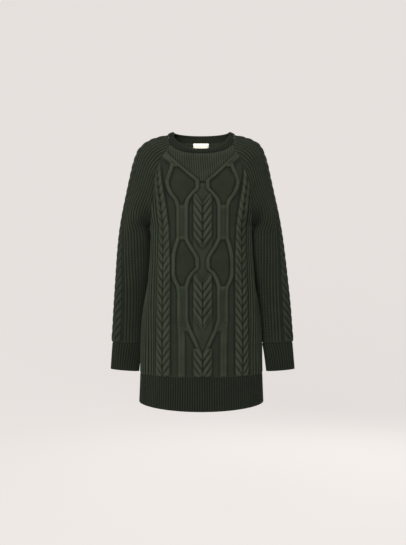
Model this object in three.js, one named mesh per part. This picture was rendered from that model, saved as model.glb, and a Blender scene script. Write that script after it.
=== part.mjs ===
// A cable-knit sweater dress, filled out as it is when worn, with nobody in it.
// Millimetres, +Z up. The front faces -Y. Left and right are the wearer's, so the right sleeve is at -X.
// The origin is midway between the two neck points, where the shoulders carry the dress.
// Every knitted piece is a wall: a plain inside, and an outside whose ribs and cables are raised.
import * as THREE from "three";

const { smoothstep, lerp, clamp } = THREE.MathUtils;

// Cloth
const WALL = 3; // plain ground, from the inside to the outer face
const SEAM_GAP = 0.45; // between two pieces that are sewn together
const RIB_PITCH = 9.4; // wide ribs of the sides, back and sleeves
const RIB_HEIGHT = 1.8;
const CABLE_PITCH = 24.5; // from one chevron of a cable to the next
const CABLE_SLOPE = 1.45; // rise of a chevron's arm over its run
const ROPE_HALF_WIDTH = 6.4; // a rope of the lattice on the front
const ROPE_HEIGHT = 4.2;
const KNIT_HEIGHT = 1.6; // smooth knitting that stands above the purl ground

// Levels, as drops below the neck points
const UNDERARM_DROP = 290;
const BAND_TOP_DROP = 723; // seam between the body and the hem ribbing
const HEM_SIDE_DROP = 804;
const HEM_FRONT_DROP = 819.5;
const HEM_BACK_DROP = 814;

// Plan of a body section
const SIDE_Y = 5; // side seams lie a little behind the neck points
const FRONT_ROUND = 2.4; // exponent of the rounded section, 2 for an ellipse
const BACK_ROUND = 2.25;

// Neck
const NECK_HALF_WIDTH = 83;
const NECK_FRONT_Y = -73;
const NECK_BACK_Y = 67;
const NECK_FRONT_DROP = 60;
const NECK_BACK_DROP = 2;
const NECK_ROUND = 2.15;
const NECK_DIP = 0.95; // how soon the opening's front edge falls away from the neck points
const NECKBAND_WALL = 4; // the band is folded double
const NECKBAND_RIBS = 58;
const NECKBAND_RIB_HEIGHT = 1.3;

// Hem, cuffs and label
const HEM_RIBS = 144;
const HEM_RIB_HEIGHT = 1.7;
const CUFF_RIBS = 30;
const CUFF_RIB_HEIGHT = 1.5;
const CUFF_OUTER_DROP = 710;
const CUFF_INNER_DROP = 717;
const LABEL_WIDTH = 48;
const LABEL_HEIGHT = 24;
const LABEL_THICKNESS = 0.9;

const FRONT = -1;
const BACK = 1;
const RIGHT = -1;
const LEFT = 1;

// Monotone cubic through the points of a table, held level past its ends.
function smoothCurve(keys, values) {
  const last = keys.length - 1;
  const slopes = keys.slice(1).map((k, i) => (values[i + 1] - values[i]) / (k - keys[i]));
  const tangents = keys.map((_, i) => {
    if (i === 0) return slopes[0];
    if (i === last) return slopes[last - 1];
    const [a, b] = [slopes[i - 1], slopes[i]];
    return a * b <= 0 ? 0 : (2 * a * b) / (a + b);
  });
  return (key) => {
    if (key <= keys[0]) return values[0];
    if (key >= keys[last]) return values[last];
    let i = 0;
    while (key > keys[i + 1]) i++;
    const step = keys[i + 1] - keys[i];
    const t = (key - keys[i]) / step;
    const [t2, t3] = [t * t, t * t * t];
    return (
      values[i] * (2 * t3 - 3 * t2 + 1) +
      tangents[i] * step * (t3 - 2 * t2 + t) +
      values[i + 1] * (3 * t2 - 2 * t3) +
      tangents[i + 1] * step * (t3 - t2)
    );
  };
}

// A table whose first column is the key. It returns a function from the key to the named columns.
function table(names, rows) {
  const keys = rows.map((row) => row[0]);
  const curves = names.slice(1).map((_, c) => smoothCurve(keys, rows.map((row) => row[c + 1])));
  return (key) => Object.fromEntries(names.slice(1).map((name, c) => [name, curves[c](key)]));
}

// Outer ground of the body at each drop: half its width, and how far it reaches forward and back.
const TORSO = table(
  ["drop", "halfWidth", "front", "back"],
  [
    [5, 96, 20, 46],
    [14, 112, 28, 60],
    [21, 124, 33, 71],
    [32, 150, 42, 79],
    [44, 171, 53, 85],
    [60, 184, 69, 91],
    [75, 189, 84, 95],
    [95, 192, 95, 100],
    [120, 193, 103, 105],
    [153, 192, 111, 109],
    [200, 185, 118, 112],
    [240, 174, 122, 111],
    [270, 162, 124, 109],
    [290, 154, 124, 108],
    [330, 156, 124, 108],
    [380, 159.5, 124, 108],
    [440, 165.5, 124, 109],
    [500, 172, 124, 111],
    [560, 176.5, 124.5, 113],
    [640, 179.5, 126, 117],
    [723, 181, 128, 121],
    [790, 183.5, 129.5, 124],
    [825, 185, 130.5, 125],
  ],
);

// Soft vertical troughs of the body, with their place along the girth from the centre front or centre back.
const TROUGHS = [
  { half: FRONT, side: -1, girth: 156, top: 520, bottom: 800, width: 11, depth: 4.5 },
  { half: FRONT, side: 1, girth: 158, top: 560, bottom: 790, width: 10, depth: 3.5 },
  { half: FRONT, side: -1, girth: 196, top: 330, bottom: 640, width: 16, depth: 4 },
  { half: FRONT, side: 1, girth: 200, top: 350, bottom: 690, width: 15, depth: 4.5 },
  { half: BACK, side: -1, girth: 128, top: 260, bottom: 770, width: 22, depth: 6 },
  { half: BACK, side: 1, girth: 96, top: 380, bottom: 800, width: 20, depth: 5 },
  { half: BACK, side: 1, girth: 182, top: 330, bottom: 700, width: 17, depth: 5 },
  { half: BACK, side: -1, girth: 40, top: 470, bottom: 810, width: 24, depth: 3.5 },
];

function bell(t) {
  return Math.abs(t) >= 1 ? 0 : (1 - t * t) ** 2;
}

function troughDepth(half, girth, drop) {
  let depth = 0;
  for (const fold of TROUGHS) {
    if (fold.half !== half) continue;
    const middle = (fold.top + fold.bottom) / 2;
    const along = bell((drop - middle) / ((fold.bottom - fold.top) / 2 + 40));
    depth += fold.depth * along * bell((girth - fold.side * fold.girth) / (2 * fold.width));
  }
  return depth;
}

// Half a section of the body as points with their distance along the girth, from the centre to the side.
const sectionCache = new Map();
function halfSection(half, drop) {
  const name = half + ":" + drop.toFixed(2);
  if (sectionCache.has(name)) return sectionCache.get(name);
  const size = TORSO(drop);
  const power = 2 / (half === FRONT ? FRONT_ROUND : BACK_ROUND);
  const depth = half === FRONT ? size.front + SIDE_Y : size.back - SIDE_Y;
  const steps = 90;
  const points = [];
  let girth = 0;
  for (let i = 0; i <= steps; i++) {
    const angle = ((i / steps) * Math.PI) / 2;
    const x = size.halfWidth * Math.sin(angle) ** power;
    const y = SIDE_Y + half * depth * Math.max(Math.cos(angle), 0) ** power;
    if (i) girth += Math.hypot(x - points[i - 1].x, y - points[i - 1].y);
    points.push({ x, y, girth });
  }
  sectionCache.set(name, points);
  return points;
}

function between(points, key, value) {
  let i = 1;
  while (i < points.length - 1 && points[i][key] < value) i++;
  const [a, b] = [points[i - 1], points[i]];
  const t = clamp((value - a[key]) / (b[key] - a[key]), 0, 1);
  return { x: a.x + (b.x - a.x) * t, y: a.y + (b.y - a.y) * t, girth: a.girth + (b.girth - a.girth) * t };
}

function sideGirth(half, drop) {
  return halfSection(half, drop).at(-1).girth;
}

// A point of the body's outer ground. Girth runs to the right as the panel is looked at from outside.
function torsoPoint(half, girth, drop) {
  const at = between(halfSection(half, drop), "girth", Math.abs(girth));
  const across = Math.sign(girth) * -half;
  return new THREE.Vector3(across * at.x, at.y, -drop);
}

function torsoNormal(half, girth, drop) {
  const step = 1.5;
  const inside = Math.sign(girth || 1) * Math.min(Math.abs(girth), sideGirth(half, drop) - step);
  const across = torsoPoint(half, inside + step, drop).sub(torsoPoint(half, inside - step, drop));
  if (Math.abs(inside) < Math.abs(girth)) across.setX(0);
  const down = torsoPoint(half, inside, drop + step).sub(torsoPoint(half, inside, drop - step));
  return down.cross(across).normalize();
}

function torsoSurface(half) {
  return (girth, drop, height) => {
    const normal = torsoNormal(half, girth, drop);
    const raise = height - troughDepth(half, girth, drop);
    return torsoPoint(half, girth, drop).addScaledVector(normal, raise);
  };
}

// Rows of a sleeve, from the neck seam out along the overarm: the overarm line, and the two
// raglan seams where the row begins and ends. Bulge is how far the row turns forward or back as it
// leaves the seam, and the reaches shape its arc.
const YOKE_ROWS = table(
  ["row", "overX", "overDrop", "frontX", "frontDrop", "backX", "backDrop", "bulge", "seamReach", "overReach"],
  [
    [0, 101, 9, 90, 44, 86, 15, 0, 18, 24],
    [1, 117, 17.5, 101, 60, 97, 38, 0, 25, 32],
    [2, 136, 23, 112, 80, 108, 64, 0, 35, 40],
    [3, 153, 30, 123, 104, 118, 92, 0, 44, 46],
    [4, 168, 39, 131, 128, 126, 120, 0.02, 52, 49],
    [5, 181, 52.5, 136, 153, 132, 148, 0.05, 58, 50],
    [6, 190, 73, 139, 180, 137, 176, 0.1, 60, 50],
    [7, 198, 99, 141.5, 205, 141, 202, 0.15, 60, 50],
    [8, 205, 131, 143.5, 225, 144, 224, 0.22, 58, 50],
    [9, 212, 163, 145.5, 242, 146, 242, 0.3, 56, 51],
    [10, 219, 196, 147, 256, 148, 256, 0.42, 55, 54],
    [11, 226, 228, 148.5, 268, 149.5, 268, 0.55, 56, 58],
    [12, 232, 258, 150, 278, 151, 278, 0.7, 60, 62],
    [13, 236, 282, 152.5, 285.5, 153, 285.5, 0.87, 70, 66],
    [14, 238.5, 298, 155, UNDERARM_DROP, 155, UNDERARM_DROP, 1, 92.4, 70],
  ],
);
const UNDERARM_ROW = 14;
const ARM_ROWS = table(
  ["row", "overX", "overDrop", "innerX", "innerDrop", "depth", "full", "behind"],
  [
    [14, 238.5, 298, 155, UNDERARM_DROP, 52.5, 1.32, 0],
    [15, 242, 320, 158, 309, 51.5, 1.3, 12],
    [16, 246.5, 360, 160, 352, 48.5, 1.24, 24],
    [17, 251.5, 420, 165, 415, 42.5, 1.14, 30],
    [18, 257, 480, 172, 478, 37, 1.05, 27],
    [19, 261.5, 540, 178, 540, 33.2, 1, 24],
    [20, 265.5, 600, 182, 602, 31, 1, 20],
    [21, 268.5, 632, 185, 635, 28.5, 1, 14],
    [22, 270.5, 656, 186.5, 660, 25.5, 1, 7],
    [23, 274.5, CUFF_OUTER_DROP, 192.5, CUFF_INNER_DROP, 22, 1, 0],
  ],
);
const CUFF_ROW = 21;
const LAST_ROW = 23;
// The right sleeve stands out further at the shoulder, and the left one at the cuff.
const SLEEVE_SWING = table(
  ["drop", "right"],
  [[40, 0], [60, 2.5], [144, 3.4], [324, 2], [500, -2.2], [712, -4]],
);
const ARC_STEPS = 60;

function swing(side, drop) {
  return (side === RIGHT ? 1 : -1) * SLEEVE_SWING(drop).right;
}

function raglanDrop(half, row) {
  const at = YOKE_ROWS(row);
  return half === FRONT ? at.frontDrop : at.backDrop;
}

// The raglan seam of each half as girth against drop, and the points where the panel's columns meet it.
const RAGLAN = Object.fromEntries(
  [FRONT, BACK].map((half) => {
    const marks = [];
    for (let row = 0; row <= UNDERARM_ROW; row += 0.125) {
      const at = YOKE_ROWS(row);
      const drop = raglanDrop(half, row);
      const girth = between(halfSection(half, drop), "x", half === FRONT ? at.frontX : at.backX).girth;
      if (!marks.length || girth > marks.at(-1).girth + 0.02) marks.push({ girth, drop });
    }
    const last = { girth: sideGirth(half, UNDERARM_DROP), drop: UNDERARM_DROP };
    while (marks.at(-1).girth > last.girth - 0.3) marks.pop();
    marks.push(last);
    const dropAt = smoothCurve(marks.map((m) => m.girth), marks.map((m) => m.drop));
    const columns = Math.round((last.girth - marks[0].girth) / (RIB_PITCH / 2));
    const nodes = Array.from({ length: columns + 1 }, (_, i) => {
      const girth = marks[0].girth + ((last.girth - marks[0].girth) * i) / columns;
      const drop = i === columns ? UNDERARM_DROP : dropAt(girth);
      const point = torsoPoint(half, girth * -half, drop);
      return { girth, drop, point };
    });
    return [half, nodes];
  }),
);

function raglanPoint(half, row) {
  const nodes = RAGLAN[half];
  const drop = raglanDrop(half, row);
  let i = 1;
  while (i < nodes.length - 1 && nodes[i].drop < drop) i++;
  const [a, b] = [nodes[i - 1], nodes[i]];
  const t = clamp((drop - a.drop) / (b.drop - a.drop), 0, 1);
  const point = a.point.clone().lerp(b.point, t);
  return { girth: a.girth + (b.girth - a.girth) * t, drop, point };
}

// Share of the underarm width that the sleeve has knitted at each row of the yoke.
const KNITTED = table(
  ["row", "share"],
  [[0, 0.38], [2, 0.54], [4, 0.68], [6, 0.79], [8, 0.875], [10, 0.935], [12, 0.975], [14, 1]],
);

// One row of a sleeve as a run of points, with their distance across the ribs from the overarm line.
// Forward is minus. In the yoke the rows slant, so they are longer than the knitting is wide.
const rowCache = new Map();
function sleeveRow(side, row) {
  const name = side + ":" + row.toFixed(3);
  if (rowCache.has(name)) return rowCache.get(name);
  const arm = row > UNDERARM_ROW;
  const at = arm ? ARM_ROWS(row) : YOKE_ROWS(row);
  const over = new THREE.Vector3(side * (at.overX + swing(side, at.overDrop)), SIDE_Y - 2, -at.overDrop);
  const arcs = [FRONT, BACK].map((half) => {
    const away = new THREE.Vector3(0, half, 0);
    const apart = 0.75 * smoothstep(row, 8, 12) * (1 - smoothstep(row, 13, 15.5));
    const clear = new THREE.Vector3(side * apart, half, 0).normalize();
    const overReach = arm ? (4 / 3) * at.depth : at.overReach;
    let seam, fullest;
    if (arm) {
      const clearance = lerp(0.7, 5, Math.min(1, row - UNDERARM_ROW));
      const room = TORSO(at.innerDrop).halfWidth + clearance;
      const innerX = Math.max(at.innerX + swing(side, at.innerDrop), room) - 0.09 * at.behind;
      const beside = new THREE.Vector3(side * innerX, SIDE_Y, -at.innerDrop);
      fullest = beside.clone().addScaledVector(clear, overReach * at.full);
      seam = beside.setY(SIDE_Y + at.behind);
    } else {
      const raglan = raglanPoint(half, row);
      seam = raglan.point.clone().multiply(new THREE.Vector3(side, 1, 1));
      const normal = torsoNormal(half, side * -half * raglan.girth, raglan.drop);
      const leave = over.clone().sub(seam).setY(0).normalize();
      leave.addScaledVector(normal, -leave.dot(normal)).normalize();
      leave.lerp(clear, at.bulge).normalize();
      fullest = seam.clone().addScaledVector(leave, at.seamReach);
    }
    const curve = new THREE.CubicBezierCurve3(
      over,
      over.clone().addScaledVector(away, overReach),
      fullest,
      seam,
    );
    const points = curve.getPoints(ARC_STEPS);
    let run = 0;
    const arc = points.map((point, i) => {
      if (i) run += point.distanceTo(points[i - 1]);
      return { point, run };
    });
    if (arm || row === UNDERARM_ROW) return arc;
    const width = rowReach(side, UNDERARM_ROW, half) * KNITTED(row).share;
    return arc.map((p) => ({ point: p.point, run: (p.run * width) / run }));
  });
  rowCache.set(name, arcs);
  return arcs;
}

function rowReach(side, row, half) {
  return sleeveRow(side, row)[half === FRONT ? 0 : 1].at(-1).run;
}

function sleevePoint(side, reach, row) {
  const arc = sleeveRow(side, row)[reach < 0 ? 0 : 1];
  const wanted = Math.min(Math.abs(reach), arc.at(-1).run);
  let i = 1;
  while (i < arc.length - 1 && arc[i].run < wanted) i++;
  const t = (wanted - arc[i - 1].run) / (arc[i].run - arc[i - 1].run);
  return arc[i - 1].point.clone().lerp(arc[i].point, t);
}

// Length along the overarm line at each row, and back again.
const OVERARM = (() => {
  const steps = 20;
  const marks = [{ row: 0, along: 0 }];
  for (let i = 1; i <= LAST_ROW * steps; i++) {
    const row = i / steps;
    const here = sleevePoint(LEFT, 0, row);
    const step = here.distanceTo(sleevePoint(LEFT, 0, (i - 1) / steps));
    marks.push({ row, along: marks.at(-1).along + step });
  }
  return marks;
})();
const rowAt = smoothCurve(OVERARM.map((m) => m.along), OVERARM.map((m) => m.row));
const alongAt = smoothCurve(OVERARM.map((m) => m.row), OVERARM.map((m) => m.along));

function sleeveNormal(side, reach, row) {
  const half = reach < 0 ? FRONT : BACK;
  const edge = rowReach(side, row, half);
  const inside = Math.sign(reach || 1) * Math.min(Math.abs(reach), edge - 1.5);
  const across = sleevePoint(side, inside + 1.5, row).sub(sleevePoint(side, inside - 1.5, row));
  const [above, below] = [Math.max(row - 0.06, 0), Math.min(row + 0.06, LAST_ROW)];
  const down = sleevePoint(side, inside, below).sub(sleevePoint(side, inside, above));
  const normal = down.cross(across).multiplyScalar(side).normalize();
  if (row >= 9) return normal;
  // Along the upper raglan both pieces share the body's normal, so their cut edges stay parallel.
  const raglan = raglanPoint(half, row);
  const body = torsoNormal(half, side * -half * raglan.girth, raglan.drop);
  const near = 1 - smoothstep(edge - Math.abs(reach), 0, 18);
  return normal.lerp(body, near * (1 - smoothstep(row, 5, 9))).normalize();
}

// A wall is made of columns of marks. A mark has its place across and down the piece, its height
// above the outer ground, and, in a cable, the place of its chevron.
const mark = (across, down, height, chevron = down) => ({ across, down, height, chevron });

class Wall {
  constructor(surface, flip) {
    this.surface = surface;
    this.flip = flip;
    this.positions = [];
    this.index = [];
  }

  add(m, height, more) {
    const point = m.place ? m.place(height) : this.surface(m.across, m.down, height);
    this.positions.push(point.x, point.y, point.z);
    return { id: this.positions.length / 3 - 1, down: m.down, ...more };
  }

  triangle(a, b, c) {
    if (a.id === b.id || b.id === c.id || a.id === c.id) return;
    this.index.push(a.id, ...(this.flip ? [c.id, b.id] : [b.id, c.id]));
  }

  // Triangles between two runs of points, paired by the value that the key gives.
  stitch(left, right, key, turned = false) {
    let [i, j] = [0, 0];
    while (i < left.length - 1 || j < right.length - 1) {
      const ahead = right[Math.min(j + 1, right.length - 1)];
      const leftFirst = i < left.length - 1 && key(left[i + 1]) <= key(ahead);
      const stepLeft = j === right.length - 1 || leftFirst;
      const apex = stepLeft ? left[i + 1] : right[j + 1];
      if (turned) this.triangle(left[i], right[j], apex);
      else this.triangle(left[i], apex, right[j]);
      if (stepLeft) i++;
      else j++;
    }
  }

  geometry() {
    const made = new THREE.BufferGeometry();
    made.setAttribute("position", new THREE.Float32BufferAttribute(this.positions, 3));
    made.setIndex(this.index);
    made.computeVertexNormals();
    return made;
  }
}

// The solid of one piece. Its inside is plain, with far fewer points than its outside.
function knitWall({
  columns,
  surface,
  wall = WALL,
  closed = false,
  flip = false,
  insideEvery = 4,
  topEvery = 1,
  bottomEvery = 4,
  insideRows,
}) {
  const made = new Wall(surface, flip);
  const outside = columns.map((column) =>
    column.marks.map((m) => made.add(m, m.height, { chevron: m.chevron })),
  );
  const pairs = columns.length - (closed ? 0 : 1);
  for (let c = 0; c < pairs; c++) {
    const next = (c + 1) % columns.length;
    const sameCable = columns[c].cable && columns[c].cable === columns[next].cable;
    made.stitch(outside[c], outside[next], (m) => (sameCable ? m.chevron : m.down));
  }
  const insideMark = (c, share) => {
    const marks = columns[c].marks;
    if (share === 0) return made.add(marks[0], -wall, { column: c });
    if (share === 1) return made.add(marks.at(-1), -wall, { column: c });
    if (marks[0].place) return made.add(marks[Math.round(share * (marks.length - 1))], -wall, { column: c });
    const down = lerp(marks[0].down, marks.at(-1).down, share);
    let i = 1;
    while (i < marks.length - 1 && marks[i].down < down) i++;
    const span = marks[i].down - marks[i - 1].down;
    const t = span > 0 ? (down - marks[i - 1].down) / span : 0;
    const across = lerp(marks[i - 1].across, marks[i].across, t);
    return made.add({ across, down }, -wall, { column: c });
  };
  const inside = insideRows.map((share, r) => {
    const every = r === 0 ? topEvery : r === insideRows.length - 1 ? bottomEvery : insideEvery;
    const edge = closed ? -1 : columns.length - 1;
    const chosen = columns.map((_, c) => c).filter((c) => c % every === 0 || c === edge);
    return chosen.map((c) => insideMark(c, share));
  });
  const wrapped = (run) => (closed ? [...run, { ...run[0], column: columns.length }] : run);
  inside.slice(1).forEach((lower, r) => {
    made.stitch(wrapped(inside[r]), wrapped(lower), (m) => m.column);
  });
  const rim = (outer, inner, turned) => {
    made.stitch(wrapped(outer.map((m, c) => ({ ...m, column: c }))), wrapped(inner), (m) => m.column, turned);
  };
  rim(outside.map((run) => run[0]), inside[0], false);
  rim(outside.map((run) => run.at(-1)), inside.at(-1), true);
  if (!closed) {
    made.stitch(inside.map((run) => run[0]), outside[0], (m) => m.down);
    made.stitch(outside.at(-1), inside.map((run) => run.at(-1)), (m) => m.down);
  }
  return made.geometry();
}

function levels(from, to, spacing) {
  const count = Math.max(1, Math.round((to - from) / spacing));
  return Array.from({ length: count + 1 }, (_, i) => from + ((to - from) * i) / count);
}

// Drops where a ribbed column of the body has marks: close together where the shoulders curve.
const RIB_LEVELS = [28, 42, 58, 76, 98, 126, 162, 208, 256, 310, 372, 436, 500, 566, 640];
const SLEEVE_RIB_LEVELS = [24, 48, 72, 96, 118, 140, 164, 190, 218, 248, 282, 320, 366, 420, 480, 545, 612];
function ribLevels(from, to, all = RIB_LEVELS) {
  return [from, ...all.filter((drop) => drop > from + 7 && drop < to - 12), to];
}

// Raised heights ease to the ground at both ends of a column, where it is sewn.
function eased(height, down, top, bottom, ease = 14) {
  const near = Math.min(down - top, bottom - down);
  return height * smoothstep(near, 0, ease);
}

// A plain column: its place across for each drop, its height, and the drops where it has marks.
function plainColumn({ across, height, top, bottom, spacing, all, ease = 14 }) {
  const drops = spacing ? levels(top, bottom, spacing) : ribLevels(top, bottom, all);
  const marks = drops.map((down) =>
    mark(across(down), down, eased(height(down), down, top, bottom, ease)),
  );
  return { marks };
}

// Columns of a horseshoe cable: chevrons whose arms run down to its middle.
const CHEVRON_PROFILE = [
  { at: -1, ridge: 0, groove: 0 },
  { at: -0.72, ridge: 4.8, groove: 2.5 },
  { at: 0, ridge: 3.2, groove: 2.2 },
  { at: 0.72, ridge: 4.8, groove: 2.5 },
  { at: 1, ridge: 0, groove: 0 },
];

// Runs are the stretches of the cable that are crossed; between them it is smooth knitting.
function cableColumns({ name, centre, halfWidth, top, bottom, runs, smooth = KNIT_HEIGHT }) {
  return CHEVRON_PROFILE.map((profile) => {
    const across = (down) => centre(down) + profile.at * halfWidth(down);
    let start = top(across(60));
    for (let i = 0; i < 14; i++) start = (start + top(across(start))) / 2;
    const edge = profile.ridge === 0;
    const lift = (down) => CABLE_SLOPE * Math.abs(profile.at) * halfWidth(down);
    const marks = [];
    const put = (down, height) => {
      const chevron = down + lift(down);
      const last = marks.at(-1);
      if (last && (down < last.down + 3.5 || down > bottom - 4)) return;
      marks.push(mark(across(down), down, eased(height, down, start, bottom), chevron));
    };
    put(start, 0);
    let reached = start;
    for (const run of runs) {
      for (const down of levels(reached, Math.max(reached, run.from - lift(run.from)), 17).slice(1)) {
        put(down, edge ? 0 : smooth);
      }
      for (let i = 0, chevron = run.from; chevron <= run.to + 0.1; i++, chevron += CABLE_PITCH / 2) {
        put(chevron - lift(chevron), i % 2 ? profile.groove : profile.ridge);
      }
      reached = Math.max(start, run.to - lift(run.to) + CABLE_PITCH / 2);
    }
    for (const down of levels(reached, Math.max(reached, bottom - 6), 17)) put(down, edge ? 0 : smooth);
    marks.push(mark(across(bottom), bottom, 0, bottom + lift(bottom)));
    return { marks, cable: name };
  });
}

// Edges of the front and back pieces at the neck, as drop against width.
const NECK_EDGE = {
  [FRONT]: smoothCurve([0, 30, 55, 75, 86, 92], [75, 73.5, 68.5, 59, 49, 42]),
  [BACK]: smoothCurve([0, 35, 60, 78, 88], [21, 20.3, 18.6, 16.3, 14.5]),
};

function neckDrop(half, girth) {
  let drop = NECK_EDGE[half](Math.abs(girth));
  for (let i = 0; i < 5; i++) drop = NECK_EDGE[half](Math.abs(torsoPoint(half, girth, drop).x));
  return drop;
}

// Top of a panel at a girth: the neck edge, then the raglan seam, each moved down by half a seam gap.
function panelTop(half, girth) {
  const nodes = RAGLAN[half];
  const reach = Math.abs(girth);
  if (reach <= nodes[0].girth) {
    const slope = neckDrop(half, reach + 0.5) - neckDrop(half, reach - 0.5);
    return neckDrop(half, reach) + (SEAM_GAP / 2) * Math.hypot(1, slope);
  }
  let i = 1;
  while (i < nodes.length - 1 && nodes[i].girth < reach) i++;
  const slope = (nodes[i].drop - nodes[i - 1].drop) / (nodes[i].girth - nodes[i - 1].girth);
  return nodes[i - 1].drop + slope * (reach - nodes[i - 1].girth) + (SEAM_GAP / 2) * Math.hypot(1, slope);
}

const PANEL_BOTTOM = BAND_TOP_DROP - SEAM_GAP / 2;
const SIDE_LEVELS = levels(UNDERARM_DROP + SEAM_GAP, PANEL_BOTTOM, 36);

// Ribbed columns from a girth out to the side seam. The last few fan out as the body widens.
function sideRibs(half, from) {
  const underarm = sideGirth(half, UNDERARM_DROP) - SEAM_GAP / 2;
  const fanned = 7;
  const step = RIB_PITCH / 2;
  const straight = Math.floor((underarm - from) / step) - fanned;
  const fanStart = from + straight * step;
  const columns = [];
  for (let i = 0; i <= straight + fanned; i++) {
    const share = Math.max(0, (i - straight) / fanned);
    const last = i === straight + fanned;
    const across = (down) => {
      if (share === 0) return from + i * step;
      const side = down <= UNDERARM_DROP + SEAM_GAP ? underarm : sideGirth(half, down) - SEAM_GAP / 2;
      return fanStart + share * (side - fanStart);
    };
    const height = () => (i % 2 && !last ? RIB_HEIGHT : 0);
    if (last) {
      columns.push({ marks: SIDE_LEVELS.map((down) => mark(across(down), down, 0)) });
    } else {
      const top = panelTop(half, across(0));
      columns.push(plainColumn({ across, height, top, bottom: PANEL_BOTTOM }));
    }
  }
  return columns;
}

function mirrored(columns) {
  return columns
    .map((column) => ({
      cable: column.cable && column.cable + " mirrored",
      marks: column.marks.map((m) => ({ ...m, across: -m.across })),
    }))
    .reverse();
}

// The lattice on the front. Two ropes on each side part into diamonds and run together in columns.
const LATTICE = table(
  ["drop", "inner", "outer", "outerHalf"],
  [
    [60, 118, 134, ROPE_HALF_WIDTH],
    [90, 90, 108, ROPE_HALF_WIDTH],
    [108, 71, 87, ROPE_HALF_WIDTH],
    [142, 34, 98, ROPE_HALF_WIDTH],
    [161, 14.8, 103, ROPE_HALF_WIDTH],
    [177, 14.8, 99.5, ROPE_HALF_WIDTH],
    [193, 28, 92, ROPE_HALF_WIDTH],
    [216, 44, 76, ROPE_HALF_WIDTH],
    [240, 48, 70, ROPE_HALF_WIDTH],
    [318, 48, 70, ROPE_HALF_WIDTH],
    [345, 37, 78, ROPE_HALF_WIDTH],
    [372, 20, 84, ROPE_HALF_WIDTH],
    [386, 14.8, 85, ROPE_HALF_WIDTH],
    [406, 14.8, 85, ROPE_HALF_WIDTH],
    [424, 30, 85, ROPE_HALF_WIDTH],
    [444, 41, 80, ROPE_HALF_WIDTH],
    [468, 47, 69, ROPE_HALF_WIDTH],
    [490, 47, 67, ROPE_HALF_WIDTH],
    [550, 47, 66, 8],
    [580, 40, 62, 10.5],
    [630, 17, 60, 10.5],
    [640, 14.8, 60, 10.5],
    [662, 35, 60, 10.5],
    [730, 36, 60, 10.5],
  ],
);
const ROPE_PROFILE = [
  { at: -1, height: 0 },
  { at: -0.5, height: 1 },
  { at: 0.5, height: 1 },
  { at: 1, height: 0 },
];
const CENTRE_CABLE_HALF = 27;
const SIDE_CABLE = table(
  ["drop", "centre", "half"],
  [
    [110, 134, 11],
    [164, 130, 12.5],
    [230, 122, 16],
    [300, 117.5, 19],
    [430, 116.5, 22.5],
    [730, 117, 23],
  ],
);

function columnTop(half, across) {
  let drop = panelTop(half, across(60));
  for (let i = 0; i < 12; i++) drop = (drop + panelTop(half, across(drop))) / 2;
  return drop;
}

function frontColumns() {
  const centreHalf = (down) => Math.min(CENTRE_CABLE_HALF, LATTICE(down).inner - ROPE_HALF_WIDTH - 0.6);
  const centre = cableColumns({
    name: "centre",
    centre: () => 0,
    halfWidth: centreHalf,
    top: (girth) => panelTop(FRONT, girth),
    bottom: PANEL_BOTTOM,
    runs: [
      { from: 236, to: 345 },
      { from: 460, to: 576 },
      { from: 660, to: 712 },
    ],
  });
  const half = [];
  const strip = (across, height, spacing, ease) => {
    const top = columnTop(FRONT, across);
    half.push(plainColumn({ across, height, top, bottom: PANEL_BOTTOM, spacing, ease }));
  };
  for (const share of [0.18, 0.36, 0.54, 0.7, 0.85]) {
    const across = (down) => {
      const inner = LATTICE(down).inner - ROPE_HALF_WIDTH;
      return lerp(centreHalf(down), inner, share);
    };
    strip(across, (down) => RIB_HEIGHT * (1 - smoothstep(down, 110, 150)), 27);
  }
  const ended = (down) => 1 - smoothstep(down, 636, 656);
  for (const { at, height } of ROPE_PROFILE) {
    const across = (down) => LATTICE(down).inner + at * ROPE_HALF_WIDTH;
    strip(across, (down) => height * ROPE_HEIGHT * ended(down), 14);
  }
  strip(
    (down) => {
      const { inner, outer, outerHalf } = LATTICE(down);
      return (inner + ROPE_HALF_WIDTH + outer - outerHalf) / 2;
    },
    (down) => {
      const { inner, outer } = LATTICE(down);
      return 2.6 * (1 - smoothstep(outer - inner, 22, 27)) * (down < 600 ? 1 : 0);
    },
    18,
  );
  for (const { at, height } of ROPE_PROFILE) {
    strip(
      (down) => LATTICE(down).outer + at * LATTICE(down).outerHalf,
      (down) => height * (down > 560 ? 3.2 : ROPE_HEIGHT * smoothstep(down, 95, 112)),
      14,
    );
  }
  const side = cableColumns({
    name: "side",
    centre: (down) => SIDE_CABLE(down).centre,
    halfWidth: (down) => SIDE_CABLE(down).half,
    top: (girth) => panelTop(FRONT, girth),
    bottom: PANEL_BOTTOM,
    runs: [{ from: 180, to: 714 }],
  });
  half.push(...side, ...sideRibs(FRONT, 148));
  return [...mirrored(half), ...centre, ...half];
}

const FRONT_COLUMNS = frontColumns();

function backColumns() {
  const step = RIB_PITCH / 2;
  const half = [];
  for (let i = 1; i * step < 147; i++) {
    const across = () => i * step;
    const height = () => (i % 2 ? 0 : RIB_HEIGHT);
    half.push(plainColumn({ across, height, top: panelTop(BACK, across()), bottom: PANEL_BOTTOM }));
  }
  half.push(...sideRibs(BACK, half.length * step + step));
  const middle = plainColumn({
    across: () => 0,
    height: () => RIB_HEIGHT,
    top: panelTop(BACK, 0),
    bottom: PANEL_BOTTOM,
  });
  return [...mirrored(half), middle, ...half];
}

// Sleeves
const SLEEVE_BOTTOM = alongAt(CUFF_ROW) - SEAM_GAP / 2;
const UNDERARM_ALONG = alongAt(UNDERARM_ROW);
const SLEEVE_LEVELS = levels(UNDERARM_ALONG + SEAM_GAP, SLEEVE_BOTTOM, 34);
const SLEEVE_CABLE = table(["along", "half"], [[0, 12], [60, 18], [180, 25], [420, 28], [700, 28]]);

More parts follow.
